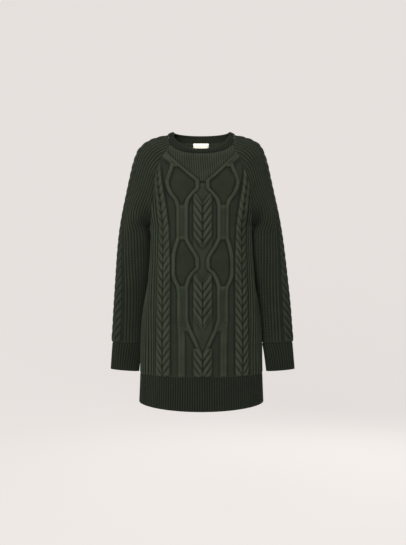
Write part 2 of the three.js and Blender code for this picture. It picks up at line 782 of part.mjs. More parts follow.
function sleeveTop(side, reach) {
  const half = reach < 0 ? FRONT : BACK;
  const wanted = Math.abs(reach) + SEAM_GAP * 1.4;
  if (wanted <= rowReach(side, 0, half)) return SEAM_GAP / 2;
  const step = 0.05;
  let row = 0;
  while (row + step < UNDERARM_ROW && rowReach(side, row + step, half) < wanted) row += step;
  const [a, b] = [rowReach(side, row, half), rowReach(side, Math.min(row + step, UNDERARM_ROW), half)];
  return alongAt(row + step * clamp((wanted - a) / (b - a), 0, 1));
}

function sleeveHalf(side, half) {
  const sign = half === FRONT ? -1 : 1;
  const step = RIB_PITCH / 2;
  const widest = rowReach(side, UNDERARM_ROW, half) - SEAM_GAP / 2;
  const from = 34;
  const fanned = half === FRONT ? 12 : 16;
  const straight = Math.floor((widest - from) / step) - fanned;
  const fanStart = from + straight * step;
  const columns = [];
  for (let i = 0; i <= straight + fanned; i++) {
    const share = Math.max(0, (i - straight) / fanned);
    const last = i === straight + fanned;
    const edge = (down) => {
      if (down <= UNDERARM_ALONG) return widest;
      return rowReach(side, rowAt(down), half) - SEAM_GAP / 2;
    };
    const across = (down) => sign * (share ? fanStart + share * (edge(down) - fanStart) : from + i * step);
    const height = (down) => {
      if (i % 2 === 0 || last) return 0;
      const closeness = share ? (edge(down) - fanStart) / (widest - fanStart) : 1;
      return RIB_HEIGHT * smoothstep(closeness, 0.25, 0.8);
    };
    if (last) {
      columns.push({ marks: SLEEVE_LEVELS.map((down) => mark(across(down), down, 0)) });
    } else {
      const top = sleeveTop(side, across(0));
      columns.push(plainColumn({ across, height, top, bottom: SLEEVE_BOTTOM, all: SLEEVE_RIB_LEVELS }));
    }
  }
  return half === FRONT ? columns.reverse() : columns;
}

function sleeveColumns(side) {
  const cable = cableColumns({
    name: "overarm",
    centre: () => 0,
    halfWidth: (down) => SLEEVE_CABLE(down).half,
    top: (reach) => sleeveTop(side, reach),
    bottom: SLEEVE_BOTTOM,
    runs: [{ from: 46, to: alongAt(CUFF_ROW) - 10 }],
  });
  return [...sleeveHalf(side, FRONT), ...cable, ...sleeveHalf(side, BACK)];
}

function sleeveSurface(side) {
  return (reach, along, height) => {
    const row = rowAt(along);
    return sleevePoint(side, reach, row).addScaledVector(sleeveNormal(side, reach, row), height);
  };
}

// Rings of fine ribbing: the hem and the cuffs.
function hemBottom(half, girth) {
  const share = Math.abs(girth) / sideGirth(half, HEM_SIDE_DROP);
  const middle = half === FRONT ? HEM_FRONT_DROP : HEM_BACK_DROP;
  return HEM_SIDE_DROP + (middle - HEM_SIDE_DROP) * Math.cos((Math.min(share, 1) * Math.PI) / 2) ** 1.5;
}

function hemColumns() {
  const top = BAND_TOP_DROP + SEAM_GAP / 2;
  const girths = [FRONT, BACK].map((half) => sideGirth(half, 760));
  const share = girths[0] / (girths[0] + girths[1]);
  return Array.from({ length: HEM_RIBS * 2 }, (_, c) => {
    const turn = (c + 0.5) / (HEM_RIBS * 2);
    const half = turn < share ? FRONT : BACK;
    const part = half === FRONT ? (turn / share) * 2 - 1 : ((turn - share) / (1 - share)) * 2 - 1;
    const bottom = hemBottom(half, part * sideGirth(half, HEM_SIDE_DROP));
    const height = c % 2 ? HEM_RIB_HEIGHT : 0;
    const marks = [top, bottom].map((down) => {
      const place = (raise) => torsoSurface(half)(part * sideGirth(half, down), down, raise);
      return { across: part, down, height, chevron: down, place };
    });
    return { marks, half, part };
  });
}

function cuffColumns(side) {
  const drops = [alongAt(CUFF_ROW) + SEAM_GAP / 2, alongAt(22), alongAt(LAST_ROW)];
  return Array.from({ length: CUFF_RIBS * 2 }, (_, c) => {
    const turn = ((c + 0.5) / (CUFF_RIBS * 2)) * 2 - 1;
    const height = c % 2 ? CUFF_RIB_HEIGHT : 0;
    const marks = drops.map((down) => {
      const row = rowAt(down);
      const reach = turn * rowReach(side, row, turn < 0 ? FRONT : BACK);
      return { down, height, chevron: down, place: (raise) => sleeveSurface(side)(reach, down, raise) };
    });
    return { marks };
  });
}

// The neckband stands on the neck edge and leans in to the neck opening.
function runOf(points) {
  let run = 0;
  return points.map((p, i) => {
    if (i) run += p.point.distanceTo(points[i - 1].point);
    return { ...p, run };
  });
}

function alongRun(points, share) {
  const wanted = share * points.at(-1).run;
  let i = 1;
  while (i < points.length - 1 && points[i].run < wanted) i++;
  const t = clamp((wanted - points[i - 1].run) / (points[i].run - points[i - 1].run), 0, 1);
  const point = points[i - 1].point.clone().lerp(points[i].point, t);
  const normal = points[i - 1].normal.clone().lerp(points[i].normal, t).normalize();
  return { point, normal };
}

// From the centre front round the left side to the centre back.
const NECK_SEAM = (() => {
  const points = [];
  const panel = (half, girth) => {
    const drop = neckDrop(half, girth);
    points.push({ point: torsoPoint(half, girth, drop), normal: torsoNormal(half, girth, drop) });
  };
  const tops = FRONT_COLUMNS.map((column) => column.marks[0].across);
  for (const girth of tops.filter((g) => g >= 0 && g < RAGLAN[FRONT][0].girth - 1)) panel(FRONT, girth);
  panel(FRONT, RAGLAN[FRONT][0].girth);
  const [forward, back] = [rowReach(LEFT, 0, FRONT), rowReach(LEFT, 0, BACK)];
  for (let i = 1; i < 12; i++) {
    const reach = -forward + ((forward + back) * i) / 12;
    points.push({ point: sleevePoint(LEFT, reach, 0), normal: sleeveNormal(LEFT, reach, 0) });
  }
  for (let i = 24; i >= 0; i--) panel(BACK, (-RAGLAN[BACK][0].girth * i) / 24);
  return runOf(points);
})();
const NECK_OPENING = (() => {
  const points = [];
  for (let i = 0; i <= 80; i++) {
    const turn = (Math.PI * i) / 80;
    const front = Math.max(Math.cos(turn), 0);
    const back = Math.max(-Math.cos(turn), 0);
    const power = 2 / NECK_ROUND;
    const x = NECK_HALF_WIDTH * Math.max(Math.sin(turn), 0) ** power;
    const y = NECK_FRONT_Y * front ** power + NECK_BACK_Y * back ** power;
    const drop = NECK_FRONT_DROP * front ** NECK_DIP + NECK_BACK_DROP * back;
    const point = new THREE.Vector3(x, y, -drop);
    points.push({ point, normal: new THREE.Vector3(x, y, 60).normalize() });
  }
  return runOf(points);
})();

function neckbandPoint(turn, share) {
  // Turn runs from 0 at the centre front to the right of the picture, and round to 1.
  const part = turn < 0.5 ? turn * 2 : 2 - turn * 2;
  const flip = new THREE.Vector3(turn < 0.5 ? 1 : -1, 1, 1);
  const low = alongRun(NECK_SEAM, part);
  const high = alongRun(NECK_OPENING, part);
  const point = low.point.clone().lerp(high.point, share);
  return { point: point.multiply(flip), seam: low.normal.multiply(flip) };
}

function neckbandColumns() {
  const count = NECKBAND_RIBS * 2;
  return Array.from({ length: count }, (_, c) => {
    const turn = (c + 0.5) / count;
    const low = neckbandPoint(turn, 0).point;
    const slant = low.distanceTo(neckbandPoint(turn, 1).point);
    const first = (1.2 * SEAM_GAP) / slant;
    const marks = [1, 0.55, first].map((share, i) => {
      const { point, seam } = neckbandPoint(turn, share);
      const ahead = neckbandPoint((turn + 0.004) % 1, share).point;
      const behind = neckbandPoint((turn + 0.996) % 1, share).point;
      const down = neckbandPoint(turn, 0).point.sub(neckbandPoint(turn, 1).point);
      const own = down.cross(ahead.sub(behind)).normalize();
      const normal = seam.lerp(own, Math.min(1, share * 1.8)).normalize();
      const height = c % 2 ? (i === 0 ? 0.4 : 1) * NECKBAND_RIB_HEIGHT : 0;
      const place = (raise) => point.clone().addScaledVector(normal, raise);
      return { down: (1 - share) * 20, height, chevron: 0, place };
    });
    return { marks };
  });
}

function labelColumns() {
  return [-1, -0.5, 0, 0.5, 1].map((part) => {
    const outer = -(WALL + 1.3);
    const across = (part * LABEL_WIDTH) / 2;
    return { marks: [22.5, 34, 22.5 + LABEL_HEIGHT].map((down) => mark(across, down, outer)) };
  });
}

// Colours
const YARN = { color: 0x39453a, roughness: 0.95 };
const RIBBING = { color: 0x343f35, roughness: 0.95 };
const LABEL_CLOTH = { color: 0xddd6c8, roughness: 0.8 };

const dress = new THREE.Group();
dress.name = "cable_knit_sweater_dress";
const add = (name, geometry, material) => {
  const mesh = new THREE.Mesh(geometry, new THREE.MeshStandardMaterial(material));
  mesh.name = name;
  dress.add(mesh);
};

const BODY_ROWS = [0, 0.02, 0.045, 0.075, 0.115, 0.17, 0.26, 0.38, 0.5, 0.62, 0.74, 0.87, 1];
const front = { columns: FRONT_COLUMNS, surface: torsoSurface(FRONT), insideRows: BODY_ROWS };
const back = { columns: backColumns(), surface: torsoSurface(BACK), insideRows: BODY_ROWS };
add("front_panel", knitWall(front), YARN);
add("back_panel", knitWall(back), YARN);
for (const [side, name] of [[LEFT, "left"], [RIGHT, "right"]]) {
  const surface = sleeveSurface(side);
  const flip = side === RIGHT;
  const rows = [0, 0.05, 0.1, 0.15, 0.21, 0.28, 0.37, 0.5, 0.66, 0.82, 1];
  const sleeve = { columns: sleeveColumns(side), surface, flip, insideRows: rows, insideEvery: 2 };
  add("sleeve_" + name, knitWall(sleeve), YARN);
  const cuff = { columns: cuffColumns(side), flip, closed: true, insideRows: [0, 0.4, 1] };
  add("cuff_" + name, knitWall(cuff), RIBBING);
}
add("hem_ribbing", knitWall({ columns: hemColumns(), closed: true, insideRows: [0, 1] }), RIBBING);
const neckband = { columns: neckbandColumns(), closed: true, wall: NECKBAND_WALL, insideRows: [0, 0.5, 1] };
add("neckband", knitWall({ ...neckband, insideEvery: 2, topEvery: 2, bottomEvery: 1 }), RIBBING);
const labelWall = WALL + 1.3 + LABEL_THICKNESS;
const label = { columns: labelColumns(), surface: torsoSurface(BACK), insideRows: [0, 0.5, 1] };
add("neck_label", knitWall({ ...label, wall: labelWall, insideEvery: 1, bottomEvery: 1 }), LABEL_CLOTH);

export default dress;
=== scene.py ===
"""A cable-knit sweater dress, filled out as when worn, with nobody in it.

The cloth is made here at the scale of its ribs and cables, on the walls of the CAD pieces.
Sizes are in millimetres until a mesh is made. The front faces -Y, and the wearer's left is +X.
"""
import math

import bpy
import numpy as np
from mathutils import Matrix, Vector


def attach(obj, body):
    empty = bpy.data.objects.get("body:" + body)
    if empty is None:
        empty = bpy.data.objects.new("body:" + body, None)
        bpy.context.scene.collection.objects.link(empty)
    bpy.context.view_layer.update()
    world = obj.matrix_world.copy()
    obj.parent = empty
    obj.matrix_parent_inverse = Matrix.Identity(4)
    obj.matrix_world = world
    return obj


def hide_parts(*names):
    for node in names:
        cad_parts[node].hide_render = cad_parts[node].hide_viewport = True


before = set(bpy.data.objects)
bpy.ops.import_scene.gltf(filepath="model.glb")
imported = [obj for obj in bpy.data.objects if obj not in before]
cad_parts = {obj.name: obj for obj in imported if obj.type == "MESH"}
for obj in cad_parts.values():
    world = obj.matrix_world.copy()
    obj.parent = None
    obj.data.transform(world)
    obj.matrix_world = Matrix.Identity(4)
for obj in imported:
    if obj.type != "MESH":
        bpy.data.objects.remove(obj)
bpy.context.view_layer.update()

# Cloth
WALL = 3.0
SEAM_GAP = 0.45
RIB_PITCH = 9.4
CABLE_PITCH = 24.5
CABLE_SLOPE = 1.45
ROPE_HALF = 6.0
ROPE_STITCH = 7.0
STITCH_WIDTH = 5.2
STITCH_ROW = 4.6

# Levels, as drops below the neck points
UNDERARM_DROP = 290.0
BAND_TOP_DROP = 723.0
HEM_SIDE_DROP = 804.0
HEM_FRONT_DROP = 819.5
HEM_BACK_DROP = 814.0
PANEL_BOTTOM = BAND_TOP_DROP - SEAM_GAP / 2

SIDE_Y = 5.0
NECK_HALF_WIDTH = 83.0
NECK_FRONT_Y = -73.0
NECK_BACK_Y = 67.0
NECK_FRONT_DROP = 60.0
NECK_BACK_DROP = 2.0
NECK_ROUND = 2.15
NECK_DIP = 0.95
NECKBAND_WALL = 4.0
NECKBAND_DEPTH = 20.0
NECKBAND_RIBS = 72
HEM_RIBS = 144
CUFF_RIBS = 30
LABEL_WIDTH = 48.0
LABEL_SHIFT = 1.0
LABEL_TOP, LABEL_BOTTOM = 21.5, 45.5
TUCK_DEPTH = 19
GROOVE_DEPTH = 3.4
# Painted light: the plain inside is coloured by this set value of the raised attribute, not by its relief.
INSIDE_PAINTED_LIGHT = 1.1  # how much light the plain inside catches

FRONT, BACK = -1, 1
RIGHT, LEFT = -1, 1


def curve(keys, values):
    """A monotone cubic through the points of a table, held level past its ends."""
    k, v = np.array(keys, float), np.array(values, float)
    s = np.diff(v) / np.diff(k)
    t = np.concatenate([s[:1], np.zeros(len(k) - 2), s[-1:]])
    for i in range(1, len(k) - 1):
        t[i] = 0 if s[i - 1] * s[i] <= 0 else 2 * s[i - 1] * s[i] / (s[i - 1] + s[i])

    def at(x):
        x = np.clip(x, k[0], k[-1])
        i = np.clip(np.searchsorted(k, x, side="right") - 1, 0, len(k) - 2)
        h = k[i + 1] - k[i]
        u = (x - k[i]) / h
        return (
            v[i] * (2 * u**3 - 3 * u**2 + 1)
            + t[i] * h * (u**3 - 2 * u**2 + u)
            + v[i + 1] * (3 * u**2 - 2 * u**3)
            + t[i + 1] * h * (u**3 - u**2)
        )

    return at


def table(names, rows):
    """Named columns against the first one."""
    keys = [row[0] for row in rows]
    return {n: curve(keys, [row[c + 1] for row in rows]) for c, n in enumerate(names[1:])}


def smoothstep(x, low, high):
    u = np.clip((x - low) / (high - low), 0, 1)
    return u * u * (3 - 2 * u)


def bell(t):
    return np.clip(1 - t * t, 0, 1) ** 2


def unit(v):
    return v / np.maximum(np.linalg.norm(v, axis=-1, keepdims=True), 1e-9)


TORSO = table(
    ["drop", "half_width", "front", "back"],
    [
        [5, 96, 20, 46],
        [14, 112, 28, 60],
        [21, 124, 33, 71],
        [32, 150, 42, 79],
        [44, 171, 53, 85],
        [60, 184, 69, 91],
        [75, 189, 84, 95],
        [95, 192, 95, 100],
        [120, 193, 103, 105],
        [153, 192, 111, 109],
        [200, 185, 118, 112],
        [240, 174, 122, 111],
        [270, 162, 124, 109],
        [290, 154, 124, 108],
        [330, 156, 124, 108],
        [380, 159.5, 124, 108],
        [440, 165.5, 124, 109],
        [500, 172, 124, 111],
        [560, 176.5, 124.5, 113],
        [640, 179.5, 126, 117],
        [723, 181, 128, 121],
        [790, 183.5, 129.5, 124],
        [825, 185, 130.5, 125],
    ],
)
ROUND = {FRONT: 2.4, BACK: 2.25}

# Soft vertical troughs: half, side, girth, top, bottom, width, depth.
TROUGHS = [
    (FRONT, -1, 160, 520, 800, 11, 4.5),
    (FRONT, 1, 164, 560, 790, 10, 3.5),
    (FRONT, -1, 196, 330, 640, 16, 4),
    (FRONT, 1, 200, 350, 690, 15, 4.5),
    (BACK, -1, 128, 260, 770, 22, 6),
    (BACK, 1, 96, 380, 800, 20, 5),
    (BACK, 1, 182, 330, 700, 17, 5),
    (BACK, -1, 40, 470, 810, 24, 3.5),
]


def trough_depth(half, girth, drop):
    depth = np.zeros_like(girth)
    for where, side, middle, top, bottom, width, deep in TROUGHS:
        if where == half:
            along = bell((drop - (top + bottom) / 2) / ((bottom - top) / 2 + 40))
            depth = depth + deep * along * bell((girth - side * middle) / (2 * width))
    return depth


# Body sections, resampled evenly along their girth.
SECTION_STEP = 2.0
SECTION_DROPS = np.arange(0, 836, SECTION_STEP)
SECTION_SHARES = np.linspace(0, 1, 141)


def body_sections(half):
    power = 2 / ROUND[half]
    angle = np.linspace(0, math.pi / 2, 361)
    width = TORSO["half_width"](SECTION_DROPS)[:, None]
    if half == FRONT:
        depth = TORSO["front"](SECTION_DROPS)[:, None] + SIDE_Y
    else:
        depth = TORSO["back"](SECTION_DROPS)[:, None] - SIDE_Y
    x = width * np.sin(angle) ** power
    y = SIDE_Y + half * depth * np.clip(np.cos(angle), 0, 1) ** power
    step = np.hypot(np.diff(x, axis=1), np.diff(y, axis=1))
    run = np.concatenate([np.zeros((len(x), 1)), np.cumsum(step, axis=1)], axis=1)
    even = np.array([
        [np.interp(SECTION_SHARES * r[-1], r, a), np.interp(SECTION_SHARES * r[-1], r, b)]
        for r, a, b in zip(run, x, y)
    ])
    return even[:, 0], even[:, 1], run[:, -1]


SECTIONS = {half: body_sections(half) for half in (FRONT, BACK)}


def side_girth(half, drop):
    return np.interp(drop, SECTION_DROPS, SECTIONS[half][2])


def torso_point(half, girth, drop):
    girth, drop = np.broadcast_arrays(np.asarray(girth, float), np.asarray(drop, float))
    xs, ys, _ = SECTIONS[half]
    i = np.clip(drop / SECTION_STEP, 0, len(SECTION_DROPS) - 1.001)
    share = np.clip(np.abs(girth) / side_girth(half, drop), 0, 1)
    j = np.clip(share * (len(SECTION_SHARES) - 1), 0, len(SECTION_SHARES) - 1.001)
    i0, j0 = i.astype(int), j.astype(int)
    u, v = i - i0, j - j0

    def mix(a):
        top = a[i0, j0] * (1 - v) + a[i0, j0 + 1] * v
        return top * (1 - u) + (a[i0 + 1, j0] * (1 - v) + a[i0 + 1, j0 + 1] * v) * u

    return np.stack([np.sign(girth) * -half * mix(xs), mix(ys), -drop], axis=-1)


def torso_normal(half, girth, drop):
    girth, drop = np.broadcast_arrays(np.asarray(girth, float), np.asarray(drop, float))
    limit = side_girth(half, drop) - 1.5
    inside = np.sign(girth) * np.minimum(np.abs(girth), limit)
    across = torso_point(half, inside + 1.5, drop) - torso_point(half, inside - 1.5, drop)
    across[..., 0] = np.where(np.abs(girth) > limit, 0, across[..., 0])
    down = torso_point(half, inside, drop + 2) - torso_point(half, inside, drop - 2)
    return unit(np.cross(down, across))


def side_tuck(half, girth, drop):
    """The sides are drawn in a little at the waist, under the sleeves."""
    along = smoothstep(drop, 284, 318) * (1 - smoothstep(drop, 350, 590))
    return TUCK_DEPTH * along * bell((side_girth(half, drop) - np.abs(girth)) / 60)


def torso_surface(half):
    def at(girth, drop, height):
        raised = height - trough_depth(half, girth, drop) - side_tuck(half, girth, drop)
        return torso_point(half, girth, drop) + torso_normal(half, girth, drop) * raised[..., None]

    return at


# Rows of a sleeve, from the neck seam out along the overarm.
YOKE = table(
    [
        "row", "over_x", "over_drop", "front_x", "front_drop",
        "back_x", "back_drop", "bulge", "seam_reach", "over_reach",
    ],
    [
        [0, 101, 9, 90, 44, 86, 15, 0, 18, 24],
        [1, 117, 17.5, 101, 60, 97, 38, 0, 25, 32],
        [2, 136, 23, 112, 80, 108, 64, 0, 35, 40],
        [3, 153, 30, 123, 104, 118, 92, 0, 44, 46],
        [4, 168, 39, 131, 128, 126, 120, 0.02, 52, 49],
        [5, 181, 52.5, 136, 153, 132, 148, 0.05, 58, 50],
        [6, 190, 73, 139, 180, 137, 176, 0.1, 60, 50],
        [7, 198, 99, 141.5, 205, 141, 202, 0.15, 60, 50],
        [8, 205, 131, 143.5, 225, 144, 224, 0.22, 58, 50],
        [9, 212, 163, 145.5, 242, 146, 242, 0.3, 56, 51],
        [10, 219, 196, 147, 256, 148, 256, 0.42, 55, 54],
        [11, 226, 228, 148.5, 268, 149.5, 268, 0.55, 56, 58],
        [12, 232, 258, 150, 278, 151, 278, 0.7, 60, 62],
        [13, 236, 282, 152.5, 285.5, 153, 285.5, 0.87, 70, 66],
        [14, 238.5, 298, 155, 290, 155, 290, 1, 92.4, 70],
    ],
)
ARM = table(
    ["row", "over_x", "over_drop", "inner_x", "inner_drop", "depth", "full", "behind"],
    [
        [14, 238.5, 298, 155, 290, 52.5, 1.5, 0],
        [15, 242, 320, 150, 309, 51.5, 1.4, 12],
        [16, 246.5, 360, 147, 352, 48.5, 1.25, 24],
        [17, 251.5, 420, 154, 415, 42.5, 1.08, 30],
        [18, 257, 480, 165, 478, 37, 1, 27],
        [19, 261.5, 540, 174, 540, 33.2, 0.98, 24],
        [20, 265.5, 600, 180, 602, 31, 1, 20],
        [21, 268.5, 632, 183, 635, 28.5, 1, 14],
        [22, 270.5, 656, 186.5, 660, 25.5, 1, 7],
        [23, 274.5, 710, 192.5, 717, 22, 1, 0],
    ],
)
UNDERARM_ROW, CUFF_ROW, LAST_ROW = 14.0, 21.0, 23.0
SWING = curve([40, 60, 144, 324, 500, 712], [0, 2.5, 3.4, 2, -2.2, -4])
KNITTED = curve([0, 2, 4, 6, 8, 10, 12, 14], [0.38, 0.54, 0.68, 0.79, 0.875, 0.935, 0.975, 1])


def raglan_drop(half, row):
    return YOKE["front_drop" if half == FRONT else "back_drop"](row)


def girth_at(half, x, drop):
    share = np.linspace(0, 1, 800) * side_girth(half, drop)
    return float(np.interp(x, np.abs(torso_point(half, share, drop)[:, 0]), share))


def raglan_nodes(half):
    marks = []
    for row in np.arange(0, 14.01, 0.125):
        drop = float(raglan_drop(half, row))
        girth = girth_at(half, float(YOKE["front_x" if half == FRONT else "back_x"](row)), drop)
        if not marks or girth > marks[-1][0] + 0.02:
            marks.append((girth, drop))
    last = float(side_girth(half, UNDERARM_DROP))
    while marks[-1][0] > last - 0.3:
        marks.pop()
    marks.append((last, UNDERARM_DROP))
    drop_at = curve([m[0] for m in marks], [m[1] for m in marks])
    count = round((last - marks[0][0]) / (RIB_PITCH / 2))
    girths = np.linspace(marks[0][0], last, count + 1)
    drops = drop_at(girths)
    drops[-1] = UNDERARM_DROP
    return girths, drops, torso_point(half, girths * -half, drops)


RAGLAN = {half: raglan_nodes(half) for half in (FRONT, BACK)}


def raglan_point(half, row):
    girths, drops, points = RAGLAN[half]
    drop = raglan_drop(half, row)
    point = np.stack([np.interp(drop, drops, points[:, k]) for k in range(3)], axis=-1)
    return np.interp(drop, drops, girths), drop, point


# Sleeve rows as even arcs, from the overarm line to the seam in front and behind.
ROW_STEP = 0.05
ROWS = np.arange(0, LAST_ROW + ROW_STEP / 2, ROW_STEP)
ARC_SHARES = np.linspace(0, 1, 81)


def sleeve_arcs(side, half):
    t = np.linspace(0, 1, 121)[:, None]
    shapes = []
    for row in ROWS:
        arm = row > UNDERARM_ROW + 1e-6
        rows = ARM if arm else YOKE
        over_drop = float(rows["over_drop"](row))
        swing = float(SWING(over_drop)) * -side
        over = np.array([side * (float(rows["over_x"](row)) + swing), SIDE_Y - 2, -over_drop])
        away = np.array([0.0, half, 0.0])
        apart = 0.75 * smoothstep(row, 8, 12) * (1 - smoothstep(row, 12, 14.5))
        clear = unit(np.array([side * apart, half, 0.0]))
        if arm:
            drop = float(ARM["inner_drop"](row))
            below = min(1, row - UNDERARM_ROW)
            room = float(TORSO["half_width"](drop)) + 0.7 + 3.3 * below
            room -= float(side_tuck(FRONT, side_girth(FRONT, drop), drop))
            behind = float(ARM["behind"](row))
            inner = max(float(ARM["inner_x"](row)) - side * below * float(SWING(drop)), room) - 0.09 * behind
            over_reach = 4 / 3 * float(ARM["depth"](row))
            beside = np.array([side * inner, SIDE_Y, -drop])
            b = beside + clear * over_reach * float(ARM["full"](row))
            seam = beside + [0, behind, 0]
        else:
            girth, drop, point = raglan_point(half, row)
            seam = point * [side, 1, 1]
            normal = torso_normal(half, side * -half * girth, drop)
            leave = unit((over - seam) * [1, 0, 1])
            leave = unit(leave - normal * (leave @ normal))
            bulge = float(YOKE["bulge"](row))
            leave = unit(leave * (1 - bulge) + clear * bulge)
            over_reach = float(YOKE["over_reach"](row))
            b = seam + leave * float(YOKE["seam_reach"](row))
        a = over + away * over_reach
        arc = over * (1 - t) ** 3 + 3 * a * t * (1 - t) ** 2 + 3 * b * t**2 * (1 - t) + seam * t**3
        run = np.concatenate([[0], np.cumsum(np.linalg.norm(np.diff(arc, axis=0), axis=1))])
        even = ARC_SHARES * run[-1]
        shapes.append(np.stack([np.interp(even, run, arc[:, k]) for k in range(3)], axis=-1))
    # The fold under the arm is soft: rows near it are drawn towards their neighbours.
    shapes = np.array(shapes)
    reach = round(3.2 / ROW_STEP)
    kernel = np.exp(-((np.arange(-reach, reach + 1) * ROW_STEP / 1.5) ** 2))
    padded = np.pad(shapes, ((reach, reach), (0, 0), (0, 0)), mode="edge")
    soft = sum(k * padded[i : i + len(shapes)] for i, k in enumerate(kernel / kernel.sum()))
    near = smoothstep(ROWS, 9, 11.5) * (1 - smoothstep(ROWS, 16.5, 19.5))
    share = near[:, None, None] * (1 - smoothstep(ARC_SHARES, 0.78, 1.0))[None, :, None]
    shapes = shapes * (1 - share) + soft * share
    lengths = np.linalg.norm(np.diff(shapes, axis=1), axis=2).sum(axis=1)
    at_underarm = np.interp(UNDERARM_ROW + ROW_STEP, ROWS, lengths)
    return shapes, np.where(ROWS <= UNDERARM_ROW, at_underarm * KNITTED(ROWS), lengths)


SLEEVES = {side: {half: sleeve_arcs(side, half) for half in (FRONT, BACK)} for side in (LEFT, RIGHT)}


def row_reach(side, row, half):
    return np.interp(row, ROWS, SLEEVES[side][half][1])


def sleeve_point(side, reach, row):
    reach, row = np.broadcast_arrays(np.asarray(reach, float), np.asarray(row, float))
    out = np.zeros(reach.shape + (3,))
    i = np.clip(row / ROW_STEP, 0, len(ROWS) - 1.001)
    i0 = i.astype(int)
    u = (i - i0)[..., None]
    for half in (FRONT, BACK):
        arcs, _ = SLEEVES[side][half]
        share = np.clip(np.abs(reach) / row_reach(side, row, half), 0, 1)
        j = np.clip(share * (len(ARC_SHARES) - 1), 0, len(ARC_SHARES) - 1.001)
        j0 = j.astype(int)
        v = (j - j0)[..., None]
        top = arcs[i0, j0] * (1 - v) + arcs[i0, j0 + 1] * v
        low = arcs[i0 + 1, j0] * (1 - v) + arcs[i0 + 1, j0 + 1] * v
        here = (reach < 0) if half == FRONT else (reach >= 0)
        out[here] = (top * (1 - u) + low * u)[here]
    return out


OVER = sleeve_point(LEFT, np.zeros_like(ROWS), ROWS)
ALONG = np.concatenate([[0], np.cumsum(np.linalg.norm(np.diff(OVER, axis=0), axis=1))])


def along_at(row):
    return np.interp(row, ROWS, ALONG)


def row_at(along):
    return np.interp(along, ALONG, ROWS)


def sleeve_normal(side, reach, row):
    reach, row = np.broadcast_arrays(np.asarray(reach, float), np.asarray(row, float))
    edge = np.where(reach < 0, row_reach(side, row, FRONT), row_reach(side, row, BACK))
    inside = np.sign(reach) * np.minimum(np.abs(reach), edge - 1.5)
    across = sleeve_point(side, inside + 1.5, row) - sleeve_point(side, inside - 1.5, row)
    above, below = np.clip(row - 0.08, 0, LAST_ROW), np.clip(row + 0.08, 0, LAST_ROW)
    down = sleeve_point(side, inside, below) - sleeve_point(side, inside, above)
    normal = unit(np.cross(down, across) * side)
    near = (1 - smoothstep(edge - np.abs(reach), 0, 18)) * (1 - smoothstep(row, 5, 9))
    for half in (FRONT, BACK):
        here = (near > 0) & ((reach < 0) if half == FRONT else (reach >= 0))
        if here.any():
            girth, drop, _ = raglan_point(half, row[here])
            body = torso_normal(half, side * -half * girth, drop)
            share = near[here][:, None]
            normal[here] = unit(normal[here] * (1 - share) + body * share)
    return normal


# Soft creases of the sleeves: reach, along, half length, half width, slant, depth. Forward is minus.
SLEEVE_CREASES = [
    (-92, 352, 60, 15, 0.5, 3.2),
    (-70, 400, 55, 15, -0.45, 2.4),
    (-58, 470, 70, 16, 0.3, 2.2),
    (-96, 520, 80, 16, 0.1, 2.4),
    (88, 360, 60, 16, -0.5, 3.4),
    (66, 430, 60, 15, 0.4, 2.6),
    (94, 540, 80, 16, 0.1, 2.4),
]


def sleeve_surface(side):
    def at(reach, along, height):
        row = row_at(along)
        crease = np.zeros_like(reach)
        for r, a, length, width, slant, depth in SLEEVE_CREASES:
            across = (reach - r) - slant * (along - a)
            crease = crease + depth * bell(across / (2 * width)) * bell((along - a) / length)
        raised = height - crease
        return sleeve_point(side, reach, row) + sleeve_normal(side, reach, row) * raised[..., None]

    return at


NECK_EDGE = {
    FRONT: curve([0, 30, 55, 75, 86, 92], [75, 73.5, 68.5, 59, 49, 42]),
    BACK: curve([0, 35, 60, 78, 88], [21, 20.3, 18.6, 16.3, 14.5]),
}


def neck_drop(half, girth):
    drop = NECK_EDGE[half](np.abs(girth))
    for _ in range(5):
        drop = NECK_EDGE[half](np.abs(torso_point(half, girth, drop)[..., 0]))
    return drop


def panel_top(half, girth):
    girths, drops, _ = RAGLAN[half]
    reach = np.abs(np.asarray(girth, float))
    slope = neck_drop(half, reach + 0.5) - neck_drop(half, np.maximum(reach - 0.5, 0))
    neck = neck_drop(half, reach) + SEAM_GAP / 2 * np.hypot(1, slope)
    i = np.clip(np.searchsorted(girths, reach) - 1, 0, len(girths) - 2)
    slope = (drops[i + 1] - drops[i]) / (girths[i + 1] - girths[i])
    seam = drops[i] + slope * (reach - girths[i]) + SEAM_GAP / 2 * np.hypot(1, slope)
    return np.where(reach <= girths[0], neck, seam)


# Relief. Each function gives the height and the stitch pattern: across in stitches, along in rows,
# and whether the knit side or the purl side shows.
LATTICE = table(
    ["drop", "inner", "outer", "outer_half"],
    [
        [60, 118, 134, ROPE_HALF],
        [90, 90, 108, ROPE_HALF],
        [108, 71, 87, ROPE_HALF],
        [142, 34, 98, ROPE_HALF],
        [161, 14.8, 103, ROPE_HALF],
        [177, 14.8, 99.5, ROPE_HALF],
        [193, 28, 92, ROPE_HALF],
        [216, 44, 76, ROPE_HALF],
        [240, 48, 70, ROPE_HALF],
        [318, 48, 70, ROPE_HALF],
        [345, 37, 78, ROPE_HALF],
        [372, 20, 84, ROPE_HALF],
        [386, 14.8, 85, ROPE_HALF],
        [406, 14.8, 85, ROPE_HALF],
        [424, 30, 85, ROPE_HALF],
        [444, 41, 80, ROPE_HALF],
        [468, 47, 69, ROPE_HALF],
        [490, 47, 67, ROPE_HALF],
        [550, 47, 66, 8],
        [580, 40, 62, 10.5],
        [630, 17, 60, 10.5],
        [640, 14.8, 60, 10.5],
        [662, 35, 60, 10.5],
        [730, 36, 60, 10.5],
    ],
)
SIDE_CABLE = table(
    ["drop", "centre", "half"],
    [[110, 134, 11], [164, 130, 12.5], [230, 122, 16], [300, 117.5, 19], [430, 116.5, 22.5], [730, 117, 23]],
)
CENTRE_CABLE_HALF = 27.0
SIDE_RIB_PITCH = 11.6
CENTRE_RUNS = [(236, 345), (460, 576), (664, 745)]


